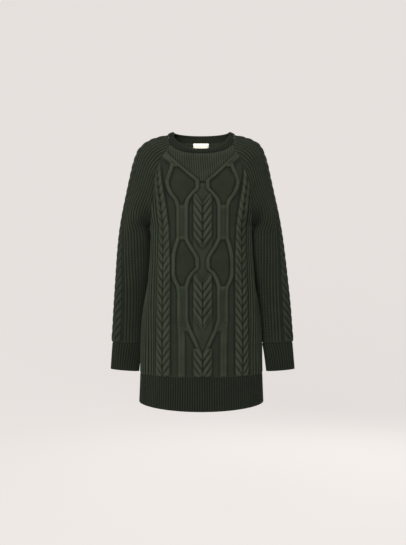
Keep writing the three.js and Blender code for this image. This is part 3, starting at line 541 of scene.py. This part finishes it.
class Relief:
    """Height and stitches of the cloth, built up from the ground by taking what stands highest.

    The fold is painted shade: how much darker a place is coloured, under the arms, at the body's sides and
    over the neckband.
    """

    def __init__(self, across, down):
        self.height = np.zeros_like(down)
        self.across = across / STITCH_WIDTH
        self.along = down / STITCH_ROW
        self.knit = np.zeros_like(down)
        self.fold = np.zeros_like(down)

    def put(self, mask, height, across=None, along=None, knit=1.0):
        mask = mask & (height > self.height)
        self.height = np.where(mask, height, self.height)
        if across is not None:
            self.across = np.where(mask, across, self.across)
        if along is not None:
            self.along = np.where(mask, along, self.along)
        self.knit = np.where(mask, knit, self.knit)

    def ribs(self, mask, offset, down, pitch, height, stacked=0.0):
        wave = 0.5 + 0.5 * np.cos(2 * math.pi * offset / pitch)
        row = 0.5 - 0.5 * np.cos(2 * math.pi * down / (2 * STITCH_ROW))
        knit = smoothstep(wave, 0.25, 0.6)
        raised = height * wave**0.75 * (1 - stacked * row)
        self.put(mask, raised + 0.01, offset / pitch + 0.5, down / STITCH_ROW, knit)

    def chevrons(self, offset, down, half, first, runs, height=6.3):
        """Horseshoe cable: plump strands that run down to its middle."""
        reach = np.abs(offset)
        lie = down + CABLE_SLOPE * reach
        phase = (lie - first) / CABLE_PITCH
        strand = np.clip(1 - np.abs(2 * (phase - np.floor(phase)) - 1) ** 2.6, 0, 1) ** 0.8
        edge = np.clip(1 - (reach / half) ** 4, 0, 1) ** 0.6
        valley = 1 - 0.5 * np.exp(-((reach / 3.6) ** 2))
        crossed = np.zeros_like(down)
        for start, end in runs:
            run = smoothstep(lie, start - 14, start - 4) * (1 - smoothstep(lie, end + 4, end + 14))
            crossed = np.maximum(crossed, run)
        braided = height * edge * valley * (0.2 + 0.8 * strand)
        plain = 1.7 * edge
        run = (reach + CABLE_SLOPE * 0.6 * down) / 7.0
        inside = reach < half
        self.put(inside, plain * (1 - crossed) + braided * crossed + 0.01, None, None, 1.0)
        on = inside & (crossed > 0.5)
        self.across = np.where(on, phase * 3.0, np.where(inside, offset / STITCH_WIDTH + 0.5, self.across))
        self.along = np.where(on, run, self.along)

    def rope(self, offset, down, half, height, wales=2.0):
        t = offset / half
        row = 0.5 + 0.5 * np.cos(2 * math.pi * (down / ROPE_STITCH + 0.55 * np.abs(t)))
        body = np.clip(1 - t * t, 0, 1) ** 0.62 * (0.8 + 0.2 * row) * (1 - 0.16 * np.exp(-((t / 0.16) ** 2)))
        self.put(np.abs(t) < 1, height * body + 0.01, t * wales / 2, down / STITCH_ROW)


# The lattice sits a little towards the wearer's left.
PATTERN_SHIFT = 4.0


def front_relief(girth, drop):
    girth = girth - PATTERN_SHIFT * smoothstep(drop, 70, 150)
    reach = np.abs(girth)
    inner, outer, wide = LATTICE["inner"](drop), LATTICE["outer"](drop), LATTICE["outer_half"](drop)
    made = Relief(girth, drop)
    made.ribs((reach < inner - ROPE_HALF) & (drop < 158), girth, drop, 6.6, 1.7)
    half = np.where(drop < 640, np.minimum(CENTRE_CABLE_HALF, inner - ROPE_HALF - 0.6), CENTRE_CABLE_HALF)
    low = drop > 166
    kept = made.height, made.across, made.along, made.knit
    made.chevrons(girth, drop, half, 236, CENTRE_RUNS)
    for name, value in zip(("height", "across", "along", "knit"), kept):
        setattr(made, name, np.where(low, getattr(made, name), value))
    made.put(
        (reach > inner) & (reach < outer) & (outer - inner < 27) & (drop < 600),
        2.8 * (1 - smoothstep(outer - inner, 22.5, 27)),
        reach / STITCH_WIDTH,
    )
    ended = 1 - smoothstep(drop, 652, 664)
    inner = np.where(drop > 580, np.maximum(40 - (drop - 580) * 0.47, ROPE_HALF * 0.8), inner)
    made.rope(reach - inner, drop, ROPE_HALF, 4.4 * ended)
    tall = np.where(drop > 560, 3.4, 4.4 * smoothstep(drop, 98, 112))
    made.rope(reach - outer, drop, wide, tall, np.where(drop > 560, 4.0, 2.0))
    offset = reach - SIDE_CABLE["centre"](drop)
    half = SIDE_CABLE["half"](drop)
    made.chevrons(offset, drop, half, 180, [(150, 760)])
    made.ribs((reach > 143.5) & (offset > half + 1), reach - 154.5, drop, SIDE_RIB_PITCH, 3.0)
    # The ground sinks between each side cable and the ribs.
    sunk = np.exp(-(((offset - half - 3.5) / 2.4) ** 2)) * smoothstep(drop, 190, 330)
    made.height = made.height - GROOVE_DEPTH * sunk
    # Painted shade: past the side cables the panel is coloured a little darker, and darker still within
    # about 30 mm of its side edge, where it turns away.
    to_side = side_girth(FRONT, drop) - reach
    made.fold = 0.4 * smoothstep(reach, 141, 147) + 0.8 * (1 - smoothstep(to_side, 2, 30))
    return made


def back_relief(girth, drop):
    made = Relief(girth, drop)
    made.ribs(girth > -1e9, girth, drop, RIB_PITCH, 1.9)
    return made


SLEEVE_CABLE_FORWARD = 12.0
SLEEVE_CABLE_HALF = curve([0, 60, 180, 420, 700], [12, 18, 25, 28, 28])


def sleeve_relief(reach, along):
    reach = reach + SLEEVE_CABLE_FORWARD * smoothstep(along, 0, 160)
    made = Relief(reach, along)
    half = SLEEVE_CABLE_HALF(along)
    made.chevrons(reach, along, half, 46, [(30, 900)])
    made.ribs(np.abs(reach) > half + 2, np.abs(reach) - 38.7, along, RIB_PITCH, 2.4, stacked=0.42)
    # Painted shade: towards the inner seam, near and below the underarm, the sleeve is coloured darker, for
    # the shade where it folds in beside the body.
    row = row_at(along)
    edge = np.where(reach < 0, row_reach(LEFT, row, FRONT), row_reach(LEFT, row, BACK))
    under = smoothstep(row, 8, 13.5) * (1 - smoothstep(row, 18.5, 21.5))
    made.fold = 2.3 * under * smoothstep(np.abs(reach) / edge, 0.55, 0.85)
    return made


# Meshes
def grid_faces(ids, closed, turned):
    """Quads over a grid of point numbers whose columns run to the right and rows down, seen from outside."""
    if closed:
        ids = np.concatenate([ids, ids[:, :1]], axis=1)
    a, b, c, d = ids[:-1, :-1], ids[1:, :-1], ids[1:, 1:], ids[:-1, 1:]
    quads = np.stack([a, b, c, d] if not turned else [a, d, c, b], axis=-1)
    return quads.reshape(-1, 4)


def zip_edges(left, left_at, right, right_at, turned):
    made, i, j = [], 0, 0
    while i < len(left) - 1 or j < len(right) - 1:
        step = j == len(right) - 1 or (i < len(left) - 1 and left_at[i + 1] <= right_at[j + 1])
        apex = left[i + 1] if step else right[j + 1]
        made.append((left[i], right[j], apex) if turned else (left[i], apex, right[j]))
        i, j = (i + 1, j) if step else (i, j + 1)
    return made


def make_mesh(name, points, quads, triangles, stitch, height):
    mesh = bpy.data.meshes.new(name)
    quads, triangles = np.asarray(quads, int).reshape(-1, 4), np.asarray(triangles, int).reshape(-1, 3)
    loops = np.concatenate([quads.ravel(), triangles.ravel()])
    sizes = np.concatenate([np.full(len(quads), 4), np.full(len(triangles), 3)])
    mesh.vertices.add(len(points))
    mesh.vertices.foreach_set("co", (points * 0.001).astype(np.float32).ravel())
    mesh.loops.add(len(loops))
    mesh.loops.foreach_set("vertex_index", loops.astype(np.int32))
    mesh.polygons.add(len(sizes))
    mesh.polygons.foreach_set("loop_start", (np.cumsum(sizes) - sizes).astype(np.int32))
    mesh.polygons.foreach_set("loop_total", sizes.astype(np.int32))
    mesh.update(calc_edges=True)
    mesh.validate()
    # The raised attribute carries the painted shade and painted light of each place, not its height.
    for label, kind, field, values in (
        ("stitch", "FLOAT_VECTOR", "vector", stitch),
        ("raised", "FLOAT", "value", height),
    ):
        layer = mesh.attributes.new(label, kind, "POINT")
        layer.data.foreach_set(field, values.astype(np.float32).ravel())
    mesh.shade_smooth()
    made = bpy.data.objects.new(name, mesh)
    bpy.context.scene.collection.objects.link(made)
    return made


def cloth(
    name, across, down, surface, relief,
    wall=WALL, closed=False, flip=False, coarse=5, around=(3, 4), ribbed_inside=False,
):
    """A wall of cloth over a grid of places, with its ribs and cables raised outside and a plain inside."""
    made = relief(across, down)
    outer = surface(across, down, made.height)
    rows, columns = across.shape
    keep_rows = np.unique(np.append(np.arange(0, rows, coarse), rows - 1))
    keep_columns = np.arange(0, columns, coarse)
    if not closed:
        keep_columns = np.unique(np.append(keep_columns, columns - 1))
    pick = np.ix_(keep_rows, keep_columns)
    inner = surface(across[pick], down[pick], np.full((len(keep_rows), len(keep_columns)), -wall))
    out_ids = np.arange(rows * columns).reshape(rows, columns)
    in_ids = rows * columns + np.arange(inner.shape[0] * inner.shape[1]).reshape(inner.shape[:2])
    quads = np.concatenate([grid_faces(out_ids, closed, flip), grid_faces(in_ids, closed, not flip)])
    out_at, in_at = list(range(columns)), list(keep_columns)
    top, low = [list(out_ids[0]), list(in_ids[0])], [list(out_ids[-1]), list(in_ids[-1])]
    if closed:
        out_at, in_at = out_at + [columns], in_at + [columns]
        for run in top + low:
            run.append(run[0])
    triangles = zip_edges(top[0], out_at, top[1], in_at, flip)
    triangles += zip_edges(low[0], out_at, low[1], in_at, not flip)
    if not closed:
        row_at_, in_row_at = list(range(rows)), list(keep_rows)
        triangles += zip_edges(list(in_ids[:, 0]), in_row_at, list(out_ids[:, 0]), row_at_, flip)
        triangles += zip_edges(list(out_ids[:, -1]), row_at_, list(in_ids[:, -1]), in_row_at, flip)
    points = np.concatenate([outer.reshape(-1, 3), inner.reshape(-1, 3)])
    stitch = np.stack([made.across, made.along, made.knit], axis=-1).reshape(-1, 3)
    if ribbed_inside:
        behind = np.stack([made.across[pick], made.along[pick], np.ones(across[pick].shape)], axis=-1)
    else:
        purl = np.zeros(across[pick].shape)
        behind = np.stack([across[pick] / STITCH_WIDTH, down[pick] / STITCH_ROW, purl], axis=-1)
    # Painted shade: where the relief lies below its surroundings, and where fold shade is painted, the
    # colour is darker; the plain inside gets a set painted light.
    stands = hollowness(made.height, *around, closed) - made.fold
    height = np.concatenate([stands.ravel(), np.full(inner.shape[0] * inner.shape[1], INSIDE_PAINTED_LIGHT)])
    return make_mesh(name, points, quads, triangles, np.concatenate([stitch, behind.reshape(-1, 3)]), height)


def hollowness(height, across_cells, down_cells, closed):
    """How far each place lies above or below the mean of its surroundings."""
    mean = height
    for axis, cells in ((1, across_cells), (0, down_cells)):
        mode = "wrap" if closed and axis == 1 else "edge"
        pad = [(0, 0), (0, 0)]
        pad[axis] = (cells, cells)
        run = np.cumsum(np.pad(mean, pad, mode=mode), axis=axis)
        zero = np.zeros_like(np.take(run, [0], axis=axis))
        run = np.concatenate([zero, run], axis=axis)
        size = mean.shape[axis]
        high = np.take(run, np.arange(2 * cells + 1, 2 * cells + 1 + size), axis=axis)
        low = np.take(run, np.arange(size), axis=axis)
        mean = (high - low) / (2 * cells + 1)
    return height - mean


def eased(relief, top, bottom, ease=9.0):
    """Relief that sinks to the ground where the piece is sewn."""

    def at(across, down):
        made = relief(across, down)
        near = np.minimum(down - top, bottom - down)
        made.height = made.height * smoothstep(near, -1, ease)
        return made

    return at


def body_panel(name, half, relief, spacing, rows):
    underarm = float(side_girth(half, UNDERARM_DROP)) - SEAM_GAP / 2
    fan_start = underarm - 36
    straight = np.arange(spacing / 2, fan_start, spacing)
    fan = np.linspace(0, 1, 19)
    side = np.concatenate([straight, fan_start + fan * (underarm - fan_start)])
    share = np.concatenate([np.zeros(len(straight)), fan])
    girth0 = np.concatenate([-side[::-1], side])
    share = np.concatenate([share[::-1], share])
    top = panel_top(half, girth0)
    top[[0, -1]] = UNDERARM_DROP + SEAM_GAP
    t = np.linspace(0, 1, rows)[:, None] ** 1.03
    down = top[None, :] + t * (PANEL_BOTTOM - top)[None, :]
    wider = np.where(down > UNDERARM_DROP + SEAM_GAP, side_girth(half, down) - SEAM_GAP / 2 - underarm, 0)
    across = girth0[None, :] + np.sign(girth0)[None, :] * share[None, :] * wider
    return cloth(name, across, down, torso_surface(half), eased(relief, top[None, :], PANEL_BOTTOM))


def sleeve_top(side, reach):
    out = np.zeros_like(reach)
    rows = np.arange(0, 14.001, 0.02)
    for half in (FRONT, BACK):
        here = (reach < 0) if half == FRONT else (reach >= 0)
        wanted = np.abs(reach[here]) + SEAM_GAP * 1.4
        widths = row_reach(side, rows, half)
        row = np.interp(wanted, widths, rows)
        out[here] = np.where(wanted <= widths[0], SEAM_GAP / 2, along_at(row))
    return out


SLEEVE_BOTTOM = float(along_at(CUFF_ROW)) - SEAM_GAP / 2
UNDERARM_ALONG = float(along_at(UNDERARM_ROW))


def sleeve(name, side):
    halves = []
    for half in (FRONT, BACK):
        widest = float(row_reach(side, UNDERARM_ROW, half)) - SEAM_GAP / 2
        fan_start = widest - 44
        straight = np.arange(1.1, fan_start, 2.2)
        fan = np.linspace(0, 1, 19)
        reach = np.concatenate([straight, fan_start + fan * (widest - fan_start)])
        halves.append((reach * half, np.concatenate([np.zeros(len(straight)), fan])))
    reach0 = np.concatenate([halves[0][0][::-1], halves[1][0]])
    share = np.concatenate([halves[0][1][::-1], halves[1][1]])
    top = sleeve_top(side, reach0)
    top[[0, -1]] = UNDERARM_ALONG + SEAM_GAP
    t = np.linspace(0, 1, 300)[:, None]
    down = top[None, :] + t * (SLEEVE_BOTTOM - top)[None, :]
    row = row_at(down)
    wider = np.zeros_like(down)
    for half, here in ((FRONT, reach0 < 0), (BACK, reach0 >= 0)):
        edge = row_reach(side, row, half) - float(row_reach(side, UNDERARM_ROW, half))
        wider = np.where((down > UNDERARM_ALONG) & here[None, :], edge, wider)
    across = reach0[None, :] + np.sign(reach0)[None, :] * share[None, :] * wider
    relief = eased(sleeve_relief, top[None, :], SLEEVE_BOTTOM)
    return cloth(name, across, down, sleeve_surface(side), relief, flip=side == RIGHT)


def rib_ring(count, turn, height):
    """Relief of a ring of fine ribs. Turn is the place round the ring, from 0 to 1."""

    def at(across, down):
        made = Relief(across, down)
        made.ribs(across > -1e9, turn * count, down, 1.0, height)
        return made

    return at


def hem():
    count = HEM_RIBS * 5
    turn = (np.arange(count) + 0.5) / count
    lengths = [float(side_girth(half, 760)) for half in (FRONT, BACK)]
    share = lengths[0] / sum(lengths)
    front = turn < share
    part = np.where(front, turn / share * 2 - 1, (turn - share) / (1 - share) * 2 - 1)
    middle = np.where(front, HEM_FRONT_DROP, HEM_BACK_DROP)
    bottom = HEM_SIDE_DROP + (middle - HEM_SIDE_DROP) * np.cos(np.abs(part) * math.pi / 2) ** 1.5
    top = BAND_TOP_DROP + SEAM_GAP / 2
    t = np.linspace(0, 1, 44)[:, None]
    down = top + t * (bottom - top)[None, :]
    across = np.broadcast_to(part[None, :], down.shape).copy()

    # A column is told from its place round the ring, so front and back parts are kept apart.
    across = across + np.where(front, 0, 10)[None, :]

    def ring_surface(across, down, height):
        is_front = across < 5
        part_ = np.where(is_front, across, across - 10)
        out = np.zeros(across.shape + (3,))
        for half in (FRONT, BACK):
            here = is_front if half == FRONT else ~is_front
            girth = part_ * side_girth(half, down)
            out[here] = torso_surface(half)(girth, down, height)[here]
        return out

    relief = rib_ring(HEM_RIBS, np.broadcast_to(turn[None, :], down.shape), 2.0)
    return cloth("hem_ribbing_knit", across, down, ring_surface, relief, closed=True)


def cuff(name, side):
    count = CUFF_RIBS * 7
    turn = (np.arange(count) + 0.5) / count
    part = turn * 2 - 1
    t = np.linspace(0, 1, 40)[:, None]
    first, last = float(along_at(CUFF_ROW)) + SEAM_GAP / 2, float(along_at(LAST_ROW))
    down = np.broadcast_to(first + t * (last - first), (len(t), count)).copy()
    row = row_at(down)
    reach = np.where(part < 0, row_reach(side, row, FRONT), row_reach(side, row, BACK)) * part[None, :]
    relief = rib_ring(CUFF_RIBS, np.broadcast_to(turn[None, :], down.shape), 1.9)
    return cloth(name, reach, down, sleeve_surface(side), relief, closed=True, flip=side == RIGHT)


def run_of(points):
    return np.concatenate([[0], np.cumsum(np.linalg.norm(np.diff(points, axis=0), axis=1))])


def neck_seam():
    """Points and normals from the centre front round the left side to the centre back."""
    points, normals = [], []
    for half in (FRONT, BACK):
        girth = np.linspace(0, RAGLAN[half][0][0], 40) * -half
        girth = girth if half == FRONT else girth[::-1]
        drop = neck_drop(half, girth)
        panel = torso_point(half, girth, drop), torso_normal(half, girth, drop)
        if half == BACK:
            reach = np.linspace(-row_reach(LEFT, 0, FRONT), row_reach(LEFT, 0, BACK), 24)[1:-1]
            zero = np.zeros_like(reach)
            points.append(sleeve_point(LEFT, reach, zero))
            normals.append(sleeve_normal(LEFT, reach, zero))
        points.append(panel[0])
        normals.append(panel[1])
    return np.concatenate(points), np.concatenate(normals)


SEAM_POINTS, SEAM_NORMALS = neck_seam()
SEAM_RUN = run_of(SEAM_POINTS)


def neck_opening():
    turn = np.linspace(0, math.pi, 161)
    front, back = np.clip(np.cos(turn), 0, 1), np.clip(-np.cos(turn), 0, 1)
    power = 2 / NECK_ROUND
    x = NECK_HALF_WIDTH * np.clip(np.sin(turn), 0, 1) ** power
    y = NECK_FRONT_Y * front**power + NECK_BACK_Y * back**power
    return np.stack([x, y, -(NECK_FRONT_DROP * front**NECK_DIP + NECK_BACK_DROP * back)], axis=-1)


OPENING = neck_opening()
OPENING_RUN = run_of(OPENING)


def neck_point(turn, share):
    """Turn runs from 0 at the centre front, to the right of the picture and round to 1."""
    turn = turn % 1
    part = np.where(turn < 0.5, turn * 2, 2 - turn * 2)
    sign = np.stack([np.where(turn < 0.5, 1, -1), np.ones_like(turn), np.ones_like(turn)], axis=-1)

    def sample(values, run):
        return np.stack([np.interp(part * run[-1], run, values[:, k]) for k in range(3)], axis=-1)

    low, high = sample(SEAM_POINTS, SEAM_RUN), sample(OPENING, OPENING_RUN)
    normal = sample(SEAM_NORMALS, SEAM_RUN)
    share = np.asarray(share)[..., None]
    return (low * (1 - share) + high * share) * sign, unit(normal * sign)


def neckband():
    count = NECKBAND_RIBS * 6
    turn = (np.arange(count) + 0.5) / count
    # The last rows roll over the opening's edge.
    share = np.linspace(1, 0.03, 26)[:, None]
    across = np.broadcast_to(turn[None, :], (26, count)).copy()
    down = np.broadcast_to((1 - share) * NECKBAND_DEPTH, (26, count)).copy()

    def surface(across, down, height):
        rise = 1 - down / NECKBAND_DEPTH
        point, seam = neck_point(across, rise)
        ahead, _ = neck_point(across + 0.003, rise)
        behind, _ = neck_point(across - 0.003, rise)
        low = neck_point(across, np.zeros_like(rise))[0]
        high = neck_point(across, np.ones_like(rise))[0]
        own = unit(np.cross(low - high, ahead - behind))
        mix = np.clip(rise * 1.8, 0, 1)[..., None]
        normal = unit(seam * (1 - mix) + own * mix)
        return point + normal * (height + 1.1 * np.sin(math.pi * np.clip(rise, 0, 1)))[..., None]

    def relief(across, down):
        made = Relief(across * 500, down)
        made.ribs(across > -1e9, across * NECKBAND_RIBS, down, 1.0, 1.9)
        made.height = made.height * smoothstep(down, -2, 5) * smoothstep(NECKBAND_DEPTH + 0.5 - down, 0, 4)
        # Painted shade: the whole neckband is coloured a little darker.
        made.fold = made.fold + 0.8
        return made

    return cloth(
        "neckband_knit", across, down, surface, relief,
        wall=NECKBAND_WALL, closed=True, coarse=3, ribbed_inside=True,
    )


def label():
    x = np.linspace(-LABEL_WIDTH / 2, LABEL_WIDTH / 2, 25) + LABEL_SHIFT
    down = np.linspace(LABEL_TOP, LABEL_BOTTOM, 13)
    across, down = np.meshgrid(x, down)

    def surface(across, down, height):
        lean = 0.8 * np.sin(across / 24 * 2.2) * smoothstep(down, 24, 46)
        return torso_surface(BACK)(across, down, height - 4.3 + lean * 0.4)

    def relief(across, down):
        made = Relief(across, down)
        made.height = made.height * 0
        return made

    return cloth("neck_label_cloth", across, down, surface, relief, wall=0.9, coarse=4)


# Materials
def nodes_of(name):
    material = bpy.data.materials.new(name)
    material.use_nodes = True
    tree = material.node_tree
    tree.nodes.clear()
    return material, tree


class Graph:
    """Short names for the shader nodes that the yarn uses."""

    def __init__(self, tree):
        self.tree = tree

    def node(self, kind, **settings):
        made = self.tree.nodes.new(kind)
        for key, value in settings.items():
            setattr(made, key, value)
        return made

    def link(self, source, target):
        if hasattr(source, "links") or isinstance(source, bpy.types.NodeSocket):
            self.tree.links.new(source, target)
        else:
            target.default_value = source

    def math(self, operation, a, b=0.0, c=None):
        made = self.node("ShaderNodeMath", operation=operation)
        self.link(a, made.inputs[0])
        self.link(b, made.inputs[1])
        if c is not None:
            self.link(c, made.inputs[2])
        return made.outputs[0]

    def ramp(self, value, low, high, to_low=0.0, to_high=1.0):
        made = self.node("ShaderNodeMapRange", interpolation_type="SMOOTHSTEP")
        for slot_, item in zip(range(5), (value, low, high, to_low, to_high)):
            self.link(item, made.inputs[slot_])
        return made.outputs[0]

    def noise(self, vector, scale, detail=2.0, rough=0.6):
        made = self.node("ShaderNodeTexNoise")
        self.link(vector, made.inputs["Vector"])
        made.inputs["Scale"].default_value = scale
        made.inputs["Detail"].default_value = detail
        made.inputs["Roughness"].default_value = rough
        return made.outputs["Fac"]

    def mix(self, share, a, b):
        made = self.node("ShaderNodeMix", data_type="RGBA")
        self.link(share, made.inputs[0])
        self.link(a, made.inputs[6])
        self.link(b, made.inputs[7])
        return made.outputs[2]


YARN_LIGHT = (0.0207, 0.0264, 0.0164, 1)
YARN_DARK = (0.0015, 0.0019, 0.0012, 1)


def yarn(name, light=YARN_LIGHT, dark=YARN_DARK, painted_shade_range=(-1.5, 1.3)):
    material, tree = nodes_of(name)
    g = Graph(tree)
    stitch = g.node("ShaderNodeAttribute", attribute_name="stitch").outputs["Vector"]
    raised = g.node("ShaderNodeAttribute", attribute_name="raised").outputs["Fac"]
    place = g.node("ShaderNodeTexCoord").outputs["Object"]
    parts = g.node("ShaderNodeSeparateXYZ")
    g.link(stitch, parts.inputs[0])
    across, along, knit = parts.outputs
    # Knit stitches: stacked Vs whose legs meet at the bottom.
    fold = g.math("ABSOLUTE", g.math("SUBTRACT", g.math("FRACT", across), 0.5))
    phase = g.math("ADD", along, g.math("MULTIPLY", fold, 1.6))
    leg = g.math("POWER", g.math("ABSOLUTE", g.math("SINE", g.math("MULTIPLY", phase, math.pi))), 0.6)
    wale = g.ramp(fold, 0.5, 0.36, 0.35, 1.0)
    vs = g.math("MULTIPLY", leg, wale)
    # Purl stitches: rows of small loops.
    row = g.math("ABSOLUTE", g.math("SINE", g.math("MULTIPLY", along, math.pi)))
    loop = g.math("ABSOLUTE", g.math("SINE", g.math("MULTIPLY", across, math.pi)))
    loops = g.math("MULTIPLY", g.math("POWER", row, 0.7), g.math("MULTIPLY_ADD", loop, 0.45, 0.55))
    looped = g.math("MULTIPLY", loops, g.math("SUBTRACT", 1.0, knit))
    stitches = g.math("ADD", g.math("MULTIPLY", vs, knit), looped)
    fibre = g.noise(place, 900, 3.0, 0.7)
    patch = g.noise(place, 26, 3.0, 0.6)
    height = g.math("ADD", stitches, g.math("MULTIPLY", fibre, 0.55))
    bump = g.node("ShaderNodeBump")
    bump.inputs["Strength"].default_value = 0.9
    bump.inputs["Distance"].default_value = 0.0016
    g.link(height, bump.inputs["Height"])
    # Painted shade: the raised attribute darkens the colour where the relief lies low and where fold shade
    # is painted, and lightens the plain inside.
    painted_light = g.ramp(raised, *painted_shade_range)
    deep = g.math("MULTIPLY_ADD", painted_light, 0.88, 0.12)
    # Painted shade: the colour is also darker in the gaps between stitches and on the purl stitches, which
    # lie lower than the knit ones. The patches are random tone.
    shade = g.math("MULTIPLY", g.ramp(stitches, 0.0, 0.85, 0.5, 1.0), deep)
    shade = g.math("MULTIPLY", shade, g.ramp(patch, 0.25, 0.75, 0.82, 1.14))
    shade = g.math("MULTIPLY", shade, g.math("MULTIPLY_ADD", knit, 0.3, 0.7))
    colour = g.mix(shade, dark, light)
    skin = g.node("ShaderNodeBsdfPrincipled")
    g.link(colour, skin.inputs["Base Color"])
    skin.inputs["Roughness"].default_value = 0.92
    skin.inputs["Specular IOR Level"].default_value = 0.08
    skin.inputs["Sheen Weight"].default_value = 0.03
    skin.inputs["Sheen Roughness"].default_value = 0.5
    skin.inputs["Sheen Tint"].default_value = (0.83, 1.0, 0.7, 1)
    g.link(bump.outputs[0], skin.inputs["Normal"])
    out = g.node("ShaderNodeOutputMaterial")
    g.link(skin.outputs[0], out.inputs[0])
    return material


def plain(name, colour, roughness=0.8):
    material, tree = nodes_of(name)
    g = Graph(tree)
    skin = g.node("ShaderNodeBsdfPrincipled")
    skin.inputs["Base Color"].default_value = (*colour, 1)
    skin.inputs["Roughness"].default_value = roughness
    out = g.node("ShaderNodeOutputMaterial")
    g.link(skin.outputs[0], out.inputs[0])
    return material


# Pieces
made = {
    "front_panel": (body_panel("front_panel_knit", FRONT, front_relief, 2.1, 300), "yarn_body"),
    "back_panel": (body_panel("back_panel_knit", BACK, back_relief, 2.35, 240), "yarn_body"),
    "sleeve_left": (sleeve("sleeve_left_knit", LEFT), "yarn_sleeves"),
    "sleeve_right": (sleeve("sleeve_right_knit", RIGHT), "yarn_sleeves"),
    "hem_ribbing": (hem(), "yarn_ribbing"),
    "cuff_left": (cuff("cuff_left_knit", LEFT), "yarn_ribbing"),
    "cuff_right": (cuff("cuff_right_knit", RIGHT), "yarn_ribbing"),
    "neckband": (neckband(), "yarn_ribbing"),
    "neck_label": (label(), "label_cloth"),
}
# The sleeves and the ribbing use darker copies of the body's yarn: painted shade, for the less light that
# falls on them.
materials = {
    "yarn_body": yarn("yarn_body"),
    "yarn_sleeves": yarn("yarn_sleeves", light=(0.0128, 0.0162, 0.0100, 1)),
    "yarn_ribbing": yarn("yarn_ribbing", light=(0.0090, 0.0112, 0.0069, 1), painted_shade_range=(-1.1, 1.0)),
    "label_cloth": plain("label_cloth", (0.66, 0.62, 0.54), 0.7),
}
for node, (piece, slot) in made.items():
    piece.data.materials.append(materials[slot])
    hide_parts(node)
    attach(piece, "root")

# Room: a pale floor that turns up into a round wall, so it is plain from every side.
ROOM = (0.791, 0.753, 0.730)
ROOM_GLOW = 0.878


def room():
    floor, wall, turn, top = -1.4, 4.6, 1.6, 4.2
    profile = [(0.4, floor), (wall - turn, floor)]
    for i in range(1, 17):
        a = math.pi / 2 * i / 16
        profile.append((wall - turn + turn * math.sin(a), floor + turn - turn * math.cos(a)))
    profile.append((wall, top))
    around = 96
    points = [(0, 0, floor)]
    for radius, z in profile:
        for i in range(around):
            a = 2 * math.pi * i / around
            points.append((radius * math.cos(a), radius * math.sin(a), z))
    faces = [(0, 1 + i, 1 + (i + 1) % around) for i in range(around)]
    for ring in range(len(profile) - 1):
        low, high = 1 + ring * around, 1 + (ring + 1) * around
        for i in range(around):
            j = (i + 1) % around
            faces.append((low + i, high + i, high + j, low + j))
    mesh = bpy.data.meshes.new("room")
    mesh.from_pydata(points, [], faces)
    mesh.shade_smooth()
    made = bpy.data.objects.new("room", mesh)
    bpy.context.scene.collection.objects.link(made)
    material, tree = nodes_of("room")
    g = Graph(tree)
    skin = g.node("ShaderNodeBsdfPrincipled")
    skin.inputs["Base Color"].default_value = (*[0.12 * c for c in ROOM], 1)
    skin.inputs["Roughness"].default_value = 1
    skin.inputs["Specular IOR Level"].default_value = 0
    skin.inputs["Emission Color"].default_value = (*ROOM, 1)
    skin.inputs["Emission Strength"].default_value = ROOM_GLOW
    out = g.node("ShaderNodeOutputMaterial")
    g.link(skin.outputs[0], out.inputs[0])
    made.data.materials.append(material)


room()


def area_light(name, place, target, size, power):
    data = bpy.data.lights.new(name, "AREA")
    data.shape = "RECTANGLE"
    data.size, data.size_y = size
    data.energy = power
    lamp = bpy.data.objects.new(name, data)
    lamp.location = place
    direction = np.array(target) - np.array(place)
    lamp.rotation_mode = "QUATERNION"
    lamp.rotation_quaternion = Vector(direction).to_track_quat("-Z", "Y")
    bpy.context.scene.collection.objects.link(lamp)


area_light("key", (-0.5, -2.8, 0.45), (0, 0, -0.35), (1.3, 1.1), 170)
area_light("top", (0.2, -0.7, 2.6), (0, 0, -0.3), (2.2, 2.0), 6)
area_light("back", (0.9, 2.7, 0.5), (0, 0, -0.35), (1.5, 1.3), 110)

world = bpy.data.worlds.new("studio")
world.use_nodes = True
world.node_tree.nodes["Background"].inputs[0].default_value = (1.0, 0.98, 0.96, 1)
world.node_tree.nodes["Background"].inputs[1].default_value = 0.55
bpy.context.scene.world = world

# Camera, level with the middle of the dress
CAMERA_DISTANCE = 2.6
PICTURE_HEIGHT = 1.635  # of the plane through the shoulders, at that distance
camera_data = bpy.data.cameras.new("camera")
camera_data.sensor_fit = "AUTO"
camera_data.sensor_width = 36
camera_data.lens = 18 * CAMERA_DISTANCE / (PICTURE_HEIGHT / 2)
camera = bpy.data.objects.new("camera", camera_data)
camera.location = (0.005, -CAMERA_DISTANCE, -0.4215)
camera.rotation_euler = (math.pi / 2, 0, 0)
bpy.context.scene.collection.objects.link(camera)
bpy.context.scene.camera = camera

view = bpy.context.scene.view_settings
view.view_transform = "Standard"
